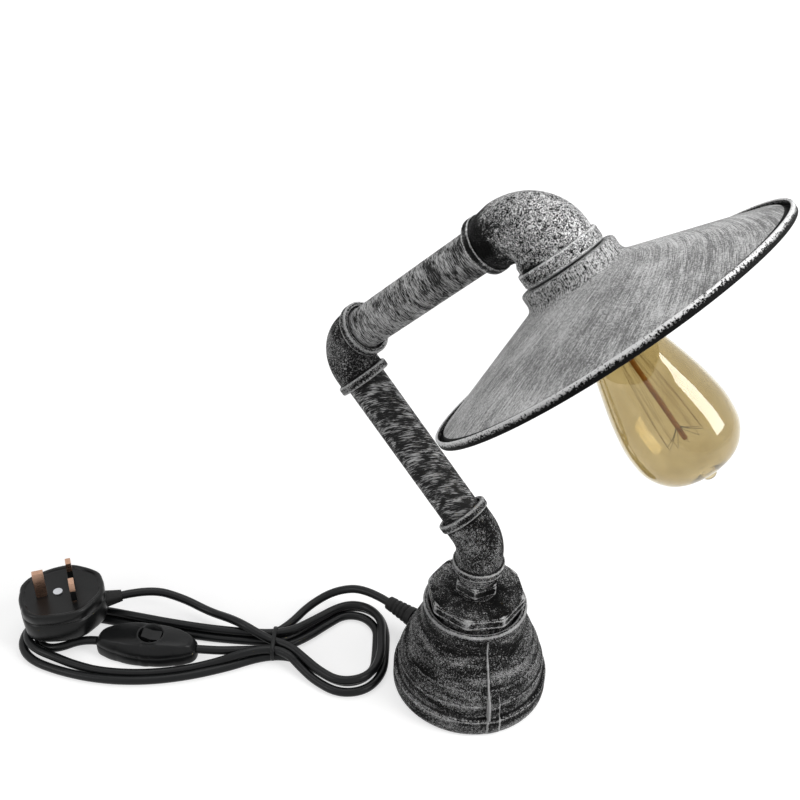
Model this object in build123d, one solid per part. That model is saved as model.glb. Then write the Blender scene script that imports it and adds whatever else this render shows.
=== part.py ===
from build123d import *
import math
import os

# Industrial pipe table lamp: a bell reducer as base, two threaded pipes and three elbows as arm,
# a spun shade on an E27 lampholder, and a mains flex with in-line switch and three-pin plug.
# Millimetres, +Z up. Origin on the table under the middle of the base. The arm lies in the XZ plane.

# ---- Fits -------------------------------------------------------------------------------------
thread_gap = 0.05      # radial clearance of every screwed or plugged seat
shoulder_gap = 0.3     # axial clearance between a pipe's shoulder and the elbow it turns in
slide_gap = 0.1        # radial clearance of the bulb's cap in the holder's shell
rest_gap = 0.2         # clearance of a piece that lies on another

# ---- Base -------------------------------------------------------------------------------------
pad_thickness = 1.5
pad_inset = 1.8        # how far the pad stays inside the bead
bell_bead_reach = 2.8  # how far the bottom bead stands out from the skirt
bell_bead_height = 13.0
bell_height = 77.0     # rim above the table
bell_rim_radius = 36.7
bell_wall = 4.6
bell_skirt_radius = 53.0
bell_radius = bell_skirt_radius + bell_bead_reach
pad_radius = bell_radius - pad_inset
bell_waist_radius = 36.4
bell_waist_height = 63.0
bell_step_low = 27.0   # heights of the two casting steps round the bell
bell_step_high = 38.5
bell_step_depth = 0.9
rib_width_deg = 2.6
rib_depth = 0.9
rib_azimuth = -48.5
lug_width_deg = 12.0
lug_height = 35.0
bush_across_flats = 64.1
bush_head_low = 80.0
bush_head_height = 8.7
bush_turn = 17.7       # turn of the octagon about the base's axis
bush_thread_radius = 30.0
bush_thread_low = 62.0
nipple_hex_low = 91.0
nipple_hex_height = 9.0
nipple_across_flats = 27.4
nipple_bore_radius = 8.0
nipple_length_below = 16.0
earth_screw_radius = 2.0
earth_screw_azimuth = 60.0

# ---- Pipework ---------------------------------------------------------------------------------
pipe_radius = 13.45    # three-quarter inch steel pipe, 26.9 mm outside
pipe_bore_radius = 10.85
thread_radius = 13.0
thread_length = 11.0
corner_height = 133.2  # where the 45 degree elbow's axes cross
lower_arm = 161.0      # crossing to crossing
upper_arm = 178.0
bead_radius = 18.0
bead_width = 5.5
mouth_radius = 15.2    # recess in each mouth, round the pipe
mouth_depth = 2.5
elbow_bore_radius = 11.2
base_joint_drop = 36.0   # where the inner flex is divided, before each elbow's crossing
arm_joint_drop = 80.0
head_joint_drop = 28.0
elbow45_face = 23.5    # crossing to mouth
elbow45_body_radius = 16.2
elbow45_bend = 24.0
elbow90_face = 29.0
elbow90_body_radius = 16.0
elbow90_bend = 19.0

# ---- Head -------------------------------------------------------------------------------------
head_small_face = 38.0
head_large_face = 32.6
head_bend = 20.0
head_small_body_radius = 16.8
head_large_body_radius = 23.2
head_large_bead_radius = 25.1
head_large_bead_width = 8.6
head_bore_radius = 20.5
head_bore_depth = 18.0
head_neck_bore_radius = 12.0

# ---- Lampholder and shade, distances along the shade's axis from the head elbow's crossing ----
holder_radius = 19.8
holder_wall = 2.0
holder_flange_radius = 24.2
holder_flange_thickness = 1.1
holder_end = 62.0
holder_mouth_radius = 14.2
entry_radius = 5.0     # M10 entry nipple
entry_bore_radius = 3.75
shell_wall = 0.6
shade_thickness = 1.0
shade_hole_radius = 20.0
shade_collar_radius = 29.4
shade_rim_radius = 113.9
shade_trough_depth = 3.36  # how far the rim's groove hangs below the cone's end
shade_lip_height = 5.3
shade_cone_slope = 0.348
shade_throat = 44.4    # where the collar's side would meet the cone
ring_radius = 27.0
ring_height = 6.0

# ---- Bulb -------------------------------------------------------------------------------------
bulb_contact_low = 36.0
cap_radius = 13.1
cap_wall = 0.5
cap_low = 41.0
cap_high = 62.5
glass_wall = 0.9
glass_neck_radius = 12.5
glass_radius = 32.0
glass_widest = 146.0
glass_tip = 178.5
stem_radius = 1.5
stem_high = 152.0
wire_radius = 0.3
strand_count = 10
strand_low = 97.0
strand_high = 149.0
strand_low_radius = 6.5
strand_high_radius = 11.5

# ---- Flex -------------------------------------------------------------------------------------
flex_radius = 3.2      # three-core flex, 6.4 mm
core_radius = 2.3      # its stripped cores in the head
boot_azimuth = 172.0
boot_height = 23.0
boot_length = 24.8     # outside the bell
boot_tip_radius = 5.2
boot_root_radius = 7.6
boot_stem_radius = 5.6
boot_flange_radius = 7.0
hank_azimuth = 210.9   # direction from the base along which the hank lies
hank_height = 12.8     # two layers of flex
tie_place = (146.0, -18.0)
tie_half_width = 13.2
tie_length = 6.0
tie_wall = 1.0
hank_outline = [
    (137, -32), (123.6, -41), (108, -55), (87.5, -65.7), (67, -56.6), (59.7, -37), (59.1, -17.5), (62, 2.5),
    (74, 20), (94, 24.8), (112.7, 15.3), (127.5, 4), (139, -4.5), (156, -5), (184, 8), (212, 18), (242, 23),
    (272, 22), (300, 15), (324, 3), (338, -16), (336, -36), (320, -50), (294, -53), (262, -47), (225, -40),
    (190, -34), (158, -31),
]
near_hole = [(127, -19), (114.4, -31), (100, -44), (86.5, -52), (77, -47.4), (73.3, -35), (73, -18.4),
             (75, -2.4), (82, 9), (92, 11.2), (105.3, 3.7), (120.5, -8)]
far_hole = [(168, -17), (186, -7), (212, 3), (242, 8.5), (272, 8), (296, 2), (314, -7), (323, -19),
            (321, -31), (311, -38), (292, -39), (262, -34), (225, -27), (190, -21)]

# ---- In-line switch, its own frame: X along the flex, Z up --------------------------------------
switch_place = (240.0, -11.0)
switch_turn = -4.0
switch_length = 76.0
switch_width = 29.0
switch_end_width = 12.0
switch_split = 10.0
switch_corner = 4.5     # rounder than the cover's taper takes off
switch_height = 21.0
rocker_length = 14.0
rocker_width = 9.0
rocker_tilt = -11.0
rocker_pivot_height = 17.0
rocker_pin_radius = 1.2
rocker_offset = -4.0

# ---- Plug, its own frame: X from earth pin to flex, Z along the pins -----------------------------
plug_place = (305.0, -33.0)
plug_turn = -159.0
plug_cover_height = 19.0
plug_base_height = 9.0
plug_reach = 30.0      # from the middle to the flex end
plug_half_width = 28.0
plug_wall = 2.2
plug_earth_x = -14.5
plug_live_x = 7.7
plug_live_spacing = 22.2
earth_pin_size = (7.95, 4.05, 22.7)
live_pin_size = (3.95, 6.35, 17.7)
sleeve_height = 9.0
sleeve_wall = 0.5
pin_head_height = 1.5
fuse_radius = 3.2
fuse_length = 25.4
clip_wall = 0.6
clip_width = 4.0
grip_length = 12.0

boot_tip = bell_skirt_radius + rest_gap + boot_length   # from the base's axis

BASE = (Align.CENTER, Align.CENTER, Align.MIN)


# ---- Small helpers ----------------------------------------------------------------------------
def rod(radius, low, high):
    """A round bar on the local Z axis."""
    return Pos(0, 0, low) * Cylinder(radius, high - low, align=BASE)


def tube(outer, inner, low, high):
    return rod(outer, low, high) - rod(inner, low, high)


def taper(low_radius, high_radius, low, high):
    return Pos(0, 0, low) * Cone(low_radius, high_radius, high - low, align=BASE)


def block(size_x, size_y, low, high):
    return Pos(0, 0, low) * Box(size_x, size_y, high - low, align=BASE)


def prism(across_flats, sides, low, high, turn=0.0):
    """A regular prism with its corners turned off; turn is the azimuth of one corner."""
    corner_radius = across_flats / 2 / math.cos(math.pi / sides)
    outline = RegularPolygon(corner_radius, sides, rotation=turn)
    ease = corner_radius - across_flats / 2
    blank = rod(corner_radius - ease / 3, low, high)
    blank = chamfer(blank.edges().filter_by(GeomType.CIRCLE), 0.5 * ease, 0.9 * ease)
    return (Pos(0, 0, low) * extrude(outline, high - low)) & blank


def turned(points):
    """A solid of revolution about Z of a closed outline of (radius, height) points."""
    return revolve(Plane.XZ * make_face(Polyline(*points, close=True)), Axis.Z)


def spun_sheet(points, radii, thickness):
    """Sheet metal of even thickness spun about Z; the middle line has rounded corners."""
    line = FilletPolyline(*points, radius=radii)
    return revolve(Plane.XZ * trace(line, thickness), Axis.Z)


def bent_rod(radius, leg_in, leg_out, turn, bend):
    """A round bar that comes in along +Z, bends at the origin about Y by turn degrees, and goes on."""
    out = (leg_out * math.sin(math.radians(turn)), 0, leg_out * math.cos(math.radians(turn)))
    path = FilletPolyline((0, 0, -leg_in), (0, 0, 0), out, radius=bend)
    return sweep(Plane((0, 0, -leg_in)) * Circle(radius), path=path)


def corner_radii(points):
    """The arc radius at each inner point of a flex's route: 0.45 of the shorter run."""
    vectors = [Vector(*p) for p in points]
    radii = []
    for before, here, after in zip(vectors, vectors[1:], vectors[2:]):
        run_in, run_out = here - before, after - here
        turn = math.radians(run_in.get_angle(run_out))
        radii.append(0.45 * min(run_in.length, run_out.length) / math.tan(turn / 2))
    return radii


def flex(name, points, radius=flex_radius):
    """A round flex along straight runs joined by tangent arcs."""
    radii = corner_radii(points)
    path = FilletPolyline(*points, radius=radii) if radii else Line(*points)
    solid = sweep(Plane(path @ 0, z_dir=path % 0) * Circle(radius), path=path)
    expected = math.pi * radius**2 * path.length
    print(name, "length", round(path.length, 1), "radii", [round(r, 1) for r in radii],
          "volume share", round(solid.volume / expected, 4))
    return solid


def point_on(frame, distance):
    """The point at a distance along a frame's Z axis."""
    return tuple((frame * Pos(0, 0, distance)).position)


# ---- Frames of the pipework, from the base up ---------------------------------------------------
arm_frame = Pos(0, 0, corner_height) * Rot(0, -45, 0)
mid_frame = arm_frame * Pos(0, 0, lower_arm)
upper_frame = mid_frame * Rot(0, 90, 0)
head_frame = upper_frame * Pos(0, 0, upper_arm)
shade_frame = head_frame * Rot(0, 90, 0)
boot_frame = Rot(0, 0, boot_azimuth) * Pos(0, 0, boot_height) * Rot(0, 90, 0)
hank_frame = Rot(0, 0, hank_azimuth)
switch_frame = hank_frame * Pos(*switch_place, 0) * Rot(0, 0, switch_turn)
rocker_frame = switch_frame * Pos(rocker_offset, 0, rocker_pivot_height)
plug_low = hank_height + rest_gap
plug_frame = hank_frame * Pos(*plug_place, plug_low) * Rot(0, 0, plug_turn)

parts = {}


# ---- Base -------------------------------------------------------------------------------------
def bell_outline():
    """Outside of the bell from the bead's top to the waist under the rim."""
    bead_top = pad_thickness + bell_bead_height
    slope = (bell_skirt_radius - bell_waist_radius) / (bell_waist_height - bead_top)
    low = bell_skirt_radius - 0.12 * slope * (bell_step_low - bead_top)
    high = low - bell_step_depth - 0.75 * slope * (bell_step_high - bell_step_low)
    return [
        (bell_skirt_radius, bead_top + 0.8),
        (low, bell_step_low - 1.2),
        (low - bell_step_depth, bell_step_low),
        (high, bell_step_high - 1.2),
        (high - bell_step_depth, bell_step_high),
        (bell_waist_radius + 5.0, bell_waist_height - 9.5),
        (bell_waist_radius + 0.9, bell_waist_height - 2.0),
    ]


def build_base():
    bead_top = pad_thickness + bell_bead_height
    side = bell_outline()
    outside = [(bell_radius, pad_thickness), (bell_radius, bead_top - 1.0), (bell_radius - 1.0, bead_top)]
    outside += side + [(bell_waist_radius, bell_waist_height + 1.5), (bell_rim_radius, bell_height)]
    socket = bush_thread_radius + thread_gap
    inside = [(bell_rim_radius - 3.0, bell_height), (socket, bell_height - 5.0),
              (socket, bell_waist_height - 4.0)]
    inside += [(radius - bell_wall, height - 2.0) for radius, height in reversed(side[:-1])]
    inside += [(bell_skirt_radius - bell_wall, pad_thickness)]
    bell = turned(outside + inside)
    for azimuth in (rib_azimuth, rib_azimuth + 180):
        rib = [(radius + rib_depth, height) for radius, height in side]
        rib += [(radius - 1.5, height) for radius, height in reversed(side)]
        lug = [(bell_skirt_radius - 2, bead_top - 2), (bell_radius - 0.6, bead_top - 2),
               (bell_skirt_radius + 0.6, lug_height - 6), (bell_skirt_radius - 2.6, lug_height),
               (bell_skirt_radius - 5, lug_height)]
        for outline, width in ((rib, rib_width_deg), (lug, lug_width_deg)):
            face = Plane.XZ * make_face(Polyline(*outline, close=True))
            bell += Rot(0, 0, azimuth) * revolve(face, Axis.Z, revolution_arc=width)
    wall_radius = bell_skirt_radius + 6
    bell -= boot_frame * rod(boot_stem_radius + thread_gap, bell_skirt_radius - 14, wall_radius)
    screw_frame = Rot(0, 0, earth_screw_azimuth) * Pos(0, 0, bell_step_low - 6) * Rot(0, 90, 0)
    screw_seat = bell_skirt_radius - bell_wall - 0.4
    bell -= screw_frame * rod(earth_screw_radius + thread_gap, screw_seat - 6, screw_seat + 3)
    parts["base_bell"] = bell
    parts["base_pad"] = rod(pad_radius, 0, pad_thickness)

    lug_tag = tube(4.0, earth_screw_radius + thread_gap, screw_seat - 3.0, screw_seat - 2.2)
    lug_tag += Pos(8.0, 0, 0) * block(10.0, 5.0, screw_seat - 3.0, screw_seat - 2.2)
    screw = rod(earth_screw_radius, screw_seat - 3.0, screw_seat + 2.5)
    screw += rod(3.6, screw_seat - 5.4, screw_seat - 3.0)
    washer = tube(4.0, earth_screw_radius + thread_gap, screw_seat - 2.2, screw_seat - 0.9)
    parts["earth_lug"] = screw_frame * lug_tag
    parts["earth_screw"] = screw_frame * screw
    parts["earth_washer"] = (screw_frame * washer) - bell

    head_high = bush_head_low + bush_head_height
    bush = prism(bush_across_flats, 8, bush_head_low, head_high, bush_turn)
    bush += rod(bush_thread_radius, bush_thread_low, bush_head_low)
    bush -= rod(thread_radius + thread_gap, nipple_hex_low - nipple_length_below - 3, head_high)
    bush -= rod(bush_thread_radius - 6, bush_thread_low, nipple_hex_low - nipple_length_below - 3)
    parts["base_bushing"] = bush

    nipple_low = nipple_hex_low - nipple_length_below
    nipple_high = corner_height - elbow45_face + mouth_depth + thread_length - shoulder_gap
    nipple = rod(thread_radius, nipple_low, nipple_high)
    nipple += prism(nipple_across_flats, 6, nipple_hex_low, nipple_hex_low + nipple_hex_height, -66.0)
    parts["hex_nipple"] = nipple - rod(nipple_bore_radius, nipple_low, nipple_high)

    boot_seat = bell_skirt_radius + rest_gap
    boot_inner_seat = bell_skirt_radius - bell_wall - 2.9
    boot = rod(boot_stem_radius, boot_inner_seat, boot_seat)
    boot += rod(boot_flange_radius, boot_inner_seat - 2.5, boot_inner_seat)
    boot += taper(boot_root_radius, boot_tip_radius, boot_seat, boot_tip)
    boot -= rod(flex_radius + thread_gap, boot_inner_seat - 2.5, boot_tip)
    parts["cord_boot"] = boot_frame * boot


# ---- Pipework ---------------------------------------------------------------------------------
def mouth(bore_radius=thread_radius + thread_gap, recess=mouth_radius, depth=mouth_depth + thread_length):
    """What is bored out of an elbow's mouth, going in along -Z from the mouth at the origin."""
    return rod(bore_radius, -depth, 0) + rod(recess, -mouth_depth, 0)


def threaded_pipe(start, end):
    """A pipe between two mouth recesses, with a thread at each end."""
    pipe = rod(pipe_radius, start, end) + rod(thread_radius, start - thread_length, end + thread_length)
    return pipe - rod(pipe_bore_radius, start - thread_length, end + thread_length)


def elbow(face, body_radius, bend, turn):
    """A beaded elbow that comes in along +Z and leaves turned about Y."""
    ends = (Pos(0, 0, -face) * Rot(180, 0, 0), Rot(0, turn, 0) * Pos(0, 0, face))
    solid = bent_rod(body_radius, face, face, turn, bend)
    for end in ends:
        bead = rod(bead_radius, -bead_width, 0)
        solid += end * chamfer(bead.edges().filter_by(GeomType.CIRCLE), 0.6)
    solid -= bent_rod(elbow_bore_radius, face, face, turn, bend)
    for end in ends:
        solid -= end * mouth()
    return solid


def reducing_elbow():
    """The fat head elbow: it grows from the pipe's size to the lampholder's along a quarter turn."""
    def grow(small, large, reach):
        rings = [Plane((0, 0, -reach), x_dir=(1, 0, 0), z_dir=(0, 0, 1)) * Circle(small)]
        steps = 6
        for step in range(steps + 1):
            share = step / steps
            angle = math.radians(90 * share)
            centre = (head_bend * (1 - math.cos(angle)), 0, head_bend * (math.sin(angle) - 1))
            ease = share * share * (3 - 2 * share)
            radius = small + (large - small) * (0.25 + 0.75 * ease)
            plane = Plane(centre, x_dir=(math.cos(angle), 0, -math.sin(angle)),
                          z_dir=(math.sin(angle), 0, math.cos(angle)))
            rings.append(plane * Circle(radius))
        return loft(rings)

    leg = head_small_face - bead_width
    body = grow(head_small_body_radius, head_large_body_radius, leg)
    out = Rot(0, 90, 0)
    body += out * rod(head_large_body_radius, head_bend, head_large_face)
    bead = rod(head_large_bead_radius, head_large_face - head_large_bead_width, head_large_face)
    body += out * chamfer(bead.edges().filter_by(GeomType.CIRCLE), 0.8)
    small_bead = rod(bead_radius, -head_small_face, -leg)
    body += chamfer(small_bead.edges().filter_by(GeomType.CIRCLE), 0.6)
    body -= grow(head_neck_bore_radius, head_bore_radius - 3, leg - mouth_depth)
    body -= out * rod(head_bore_radius - 3, head_bend - 1, head_large_face)
    body -= out * rod(head_bore_radius, head_large_face - head_bore_depth, head_large_face)
    body -= Pos(0, 0, -head_small_face) * Rot(180, 0, 0) * mouth()
    return body


def build_pipework():
    parts["elbow_45"] = Pos(0, 0, corner_height) * elbow(elbow45_face, elbow45_body_radius, elbow45_bend, -45)
    lower_start = elbow45_face - mouth_depth
    lower_end = lower_arm - elbow90_face + mouth_depth - shoulder_gap
    parts["lower_pipe"] = arm_frame * threaded_pipe(lower_start, lower_end)
    parts["elbow_90"] = mid_frame * elbow(elbow90_face, elbow90_body_radius, elbow90_bend, 90)
    upper_start = elbow90_face - mouth_depth
    upper_end = upper_arm - head_small_face + mouth_depth - shoulder_gap
    parts["upper_pipe"] = upper_frame * threaded_pipe(upper_start, upper_end)
    parts["head_elbow"] = head_frame * reducing_elbow()


# ---- Lampholder and shade ---------------------------------------------------------------------
def build_holder():
    disc_low = head_large_face - head_bore_depth
    disc = tube(head_bore_radius - thread_gap, entry_radius + thread_gap, disc_low, disc_low + 3)
    nut_high = disc_low
    nut = prism(14.0, 6, nut_high - 3, nut_high) - rod(entry_radius + thread_gap, nut_high - 3, nut_high)
    cap_start = disc_low + 3
    entry = tube(entry_radius, entry_bore_radius, nut_high - 4.5, cap_start + 4)
    crown = [(entry_radius + thread_gap, cap_start), (holder_radius - 4, cap_start),
             (holder_radius, cap_start + 4), (holder_radius, head_large_face - 0.1),
             (holder_radius - holder_wall, head_large_face - 0.1), (holder_radius - holder_wall, cap_start + 5),
             (holder_radius - 5, cap_start + 2.4), (entry_radius + thread_gap, cap_start + 2.4)]
    flange_low = head_large_face
    flange_high = flange_low + holder_flange_thickness
    inner = holder_radius - holder_wall
    skirt = tube(holder_flange_radius, inner, flange_low, flange_high)
    skirt += tube(shade_hole_radius - 0.5, inner, flange_low, holder_end)
    skirt += tube(shade_hole_radius - 0.5, holder_mouth_radius, holder_end - 2, holder_end)
    core_low = bulb_contact_low - 8
    core = rod(inner - thread_gap, core_low, bulb_contact_low - 1.0) - rod(2.1, core_low, core_low + 5)
    shell_inner = cap_radius + slide_gap
    shell = tube(shell_inner + shell_wall, shell_inner, bulb_contact_low - 1.0, holder_end - 2)
    tongue = rod(3.0, bulb_contact_low - 1.0, bulb_contact_low - 0.1)
    terminals = [Pos(offset, 0, 0) * block(5.0, 7.0, core_low - 5, core_low) for offset in (-9.0, 9.0)]
    for name, solid in (
        ("holder_disc", disc), ("holder_locknut", nut), ("holder_entry_nipple", entry),
        ("holder_cap", turned(crown)), ("holder_skirt", skirt), ("holder_core", core),
        ("holder_shell", shell), ("holder_contact", tongue),
        ("holder_terminals", Compound(children=terminals)),
    ):
        parts[name] = shade_frame * solid

    sheet_low = flange_high + shade_thickness / 2
    lip = shade_rim_radius - shade_thickness / 2
    cone_end = shade_rim_radius - 4.5
    cone_end_low = shade_throat + shade_cone_slope * (cone_end - shade_collar_radius)
    floor = cone_end_low + shade_trough_depth
    rim_low = floor + shade_thickness / 2
    middle = [(shade_hole_radius, sheet_low), (shade_collar_radius, sheet_low),
              (shade_collar_radius, shade_throat), (cone_end, cone_end_low), (lip - 2.0, floor), (lip, floor),
              (lip, rim_low - shade_lip_height + 0.8)]
    shade = spun_sheet(middle, [2.4, 8.0, 1.2, 0.9, 1.4], shade_thickness)
    lip_top = rim_low - shade_lip_height + 0.9
    shade += revolve(Plane.XZ * Pos(lip - 0.4, lip_top) * Circle(0.9), Axis.Z)
    parts["shade"] = shade_frame * shade
    ring_low = flange_high + shade_thickness
    ring = tube(ring_radius, shade_hole_radius - 0.5 + thread_gap, ring_low, ring_low + 1.5)
    ring += tube(shade_hole_radius + 2.5, shade_hole_radius - 0.5 + thread_gap, ring_low, ring_low + ring_height)
    parts["shade_ring"] = shade_frame * ring


# ---- Bulb -------------------------------------------------------------------------------------
def build_bulb():
    contact = taper(3.0, 4.6, bulb_contact_low, bulb_contact_low + 1.6)
    insulator = taper(4.6, 11.0, bulb_contact_low + 1.6, cap_low)
    cap = tube(cap_radius, cap_radius - cap_wall, cap_low, cap_high)
    cap += tube(cap_radius, 4.7, cap_low, cap_low + cap_wall) - rod(11.0, cap_low - 1, cap_low)
    widest = (glass_radius, glass_widest)
    neck = (glass_neck_radius, cap_high - 4)
    waist = (neck[0], cap_high + 0.2)
    inner_neck = (neck[0] - glass_wall, neck[1])
    inner_waist = (inner_neck[0], waist[1] + 0.3)
    outside = Spline(waist, (15.0, 68.0), (18.2, 81.5), (24.4, 103.0), (29.7, 124.0), widest,
                     (29.8, 160.0), (21.5, 171.3), (5.0, 176.2), tangents=((0.55, 1), (-1, 0.12)))
    inside = Spline(inner_waist, (14.1, 68.2), (17.3, 81.8), (23.5, 103.2), (28.8, 124.2),
                    (glass_radius - glass_wall, glass_widest - 0.2), (28.9, 159.5), (20.9, 170.4),
                    (5.0, 175.1), tangents=((0.55, 1), (-1, 0.12)))
    nub = Polyline((5.0, 176.2), (3.4, 177.0), (2.4, glass_tip), (0, glass_tip), (0, 175.6), (5.0, 175.1))
    profile = make_face([Line(neck, waist), outside, nub, inside, Line(inner_waist, inner_neck),
                         Line(inner_neck, neck)])
    glass = revolve(Plane.XZ * profile, Axis.Z)
    foot = neck[0] - glass_wall - thread_gap
    stem = turned([(0, neck[1]), (foot, neck[1]), (foot, neck[1] + 1.2), (4.0, neck[1] + 5),
                   (3.2, 84.0), (stem_radius, 88.0), (stem_radius, stem_high), (0, stem_high)])

    def point(radius, height, angle):
        return Vector(radius * math.cos(angle), radius * math.sin(angle), height)

    def wire(start, end):
        return Plane(start, z_dir=end - start) * Cylinder(wire_radius, (end - start).length, align=BASE)

    supports, strands = [], []
    pitch = 2 * math.pi / strand_count
    for number in range(strand_count):
        low = point(strand_low_radius, strand_low, pitch * number)
        high = point(strand_high_radius, strand_high, pitch * (number + 0.5))
        supports.append(wire(point(stem_radius, strand_low, pitch * number), low))
        supports.append(wire(point(stem_radius, strand_high, pitch * (number + 0.5)), high))
        along = (high - low).normalized()
        strands.append(wire(low + along * 0.5, high - along * 0.5))
    for name, solid in (
        ("bulb_contact", contact), ("bulb_insulator", insulator), ("bulb_cap", cap),
        ("bulb_glass", glass), ("bulb_stem", stem), ("filament_supports", Compound(children=supports)),
        ("filament", Compound(children=strands)),
    ):
        parts[name] = shade_frame * solid


# ---- Wiring inside the pipes ------------------------------------------------------------------
def build_inner_flex():
    base_end = (0, 0, corner_height - base_joint_drop)
    lower_end = point_on(arm_frame, lower_arm - arm_joint_drop)
    upper_end = point_on(upper_frame, upper_arm - head_joint_drop)
    parts["flex_in_base"] = flex("flex_in_base", [
        point_on(boot_frame, boot_tip), (0, 0, boot_height), base_end])
    parts["flex_in_lower_arm"] = flex("flex_in_lower_arm", [
        base_end, point_on(arm_frame, 0), lower_end])
    parts["flex_in_upper_arm"] = flex("flex_in_upper_arm", [
        lower_end, point_on(mid_frame, 0), upper_end])
    parts["flex_in_head"] = flex("flex_in_head", [
        upper_end, point_on(head_frame, -10), point_on(shade_frame, 10), point_on(shade_frame, 22)],
        core_radius)


# ---- Mains flex, hank and tie -----------------------------------------------------------------
def build_cord():
    def area(points):
        return make_face(Spline(*points, periodic=True))

    hank = extrude(area(hank_outline) - area(near_hole) - area(far_hole), hank_height)
    tie_high = hank_height + tie_wall + 0.2
    tie = block(tie_length, 2 * (tie_half_width + tie_wall), 0, tie_high)
    tie -= block(tie_length, 2 * tie_half_width, tie_wall, tie_high - tie_wall)
    tie = Pos(*tie_place, 0) * tie
    parts["cord_tie"] = hank_frame * tie
    parts["cord_hank"] = hank_frame * (hank - tie)

    def placed(points):
        return [tuple((hank_frame * Pos(*p)).position) for p in points]

    parts["cord_from_lamp"] = flex(
        "cord_from_lamp",
        [point_on(boot_frame, boot_tip), point_on(boot_frame, boot_tip + 24)]
        + placed([(103.0, -67.5, 15.0), (127.0, -54.5, 8.8), (138.0, -29.5, 6.4)]))

    def beside_switch(x):
        return tuple((switch_frame * Pos(x, 0, switch_split - 1)).position)

    half = switch_length / 2
    parts["cord_to_switch"] = flex("cord_to_switch", [beside_switch(-half), beside_switch(-half - 26)])
    parts["cord_from_switch"] = flex("cord_from_switch", [beside_switch(half), beside_switch(half + 48)])
    grip_points = [plug_frame * Pos(plug_reach + grip_length + reach, 0, plug_cover_height / 2) for reach in (0, 22)]
    parts["cord_to_plug"] = flex(
        "cord_to_plug",
        [tuple(place.position) for place in grip_points]
        + placed([(221.0, -56.0, 15.0), (199.0, -44.5, 8.0), (178.0, -29.5, 6.4)]))


# ---- In-line switch ---------------------------------------------------------------------------
def build_switch():
    half, end, side = switch_length / 2, switch_end_width / 2, switch_width / 2
    outline = make_face(Polyline((-half, -end), (-half * 0.35, -side), (half * 0.35, -side), (half, -end),
                                 (half, end), (half * 0.35, side), (-half * 0.35, side), (-half, end),
                                 close=True))
    outline = fillet(outline.vertices(), switch_corner)
    base = extrude(outline, switch_split)
    base -= Pos(rocker_offset, 0, 0) * block(30, 14, switch_split - 5, switch_split)
    top = switch_height - switch_split
    cover = Pos(0, 0, switch_split) * extrude(outline, top, taper=14)
    edge = cover.faces().sort_by(Axis.Z)[-1].edges()
    cover = fillet(edge, 1.0)
    pocket = Pos(rocker_offset, 0, 0) * block(rocker_length + 2.0, rocker_width + 0.6,
                                               switch_split, switch_height)
    pivot = Pos(rocker_offset, 0, rocker_pivot_height) * Rot(90, 0, 0)
    pin_half = rocker_width / 2 + 1.6
    cover = cover - pocket - pivot * rod(rocker_pin_radius + thread_gap, -pin_half - 0.1, pin_half + 0.1)
    screw_places = [(-half * 0.62, 0), (half * 0.62, 0)]
    screws = []
    for x, y in screw_places:
        place = Pos(x, y, 0)
        cover -= place * rod(1.5 + thread_gap, switch_split, switch_split + 4)
        base -= place * (rod(1.5 + thread_gap, 0, switch_split) + rod(2.8 + thread_gap, 0, 2.2))
        screws.append(place * (rod(1.5, 2.2, switch_split + 3.8) + rod(2.8, 0.3, 2.2)))
    contacts = [Pos(rocker_offset + x, 0, 0) * block(8, 6, switch_split - 5, switch_split - 0.6)
                for x in (-8, 8)]
    parts["switch_base"] = switch_frame * base
    parts["switch_cover"] = switch_frame * cover
    parts["switch_screws"] = switch_frame * Compound(children=screws)
    parts["switch_contacts"] = switch_frame * Compound(children=contacts)

    reach = rocker_length / 2
    side_view = make_face(Polyline((-reach, -2.6), (reach, -2.6), (reach, 4.4), (0, 3.0), (-reach, 4.4),
                                   close=True))
    rocker = Plane.XZ * extrude(side_view, rocker_width / 2, both=True)
    rocker += Rot(90, 0, 0) * rod(rocker_pin_radius, -pin_half, pin_half)
    parts["switch_rocker"] = rocker_frame * Rot(0, rocker_tilt, 0) * rocker


# ---- Plug -------------------------------------------------------------------------------------
def plug_outline(inset=0.0):
    reach, half = plug_reach, plug_half_width
    corners = [(-reach, half - 14), (6.5 - reach, half - 6), (24 - reach, half), (reach - 20, half),
               (reach - 8, half - 8.5), (reach, half - 17)]
    points = corners + [(x, -y) for x, y in reversed(corners)]
    face = make_face(Polyline(*points, close=True))
    face = fillet(face.vertices(), 3.0)
    return offset(face, -inset) if inset else face


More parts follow.
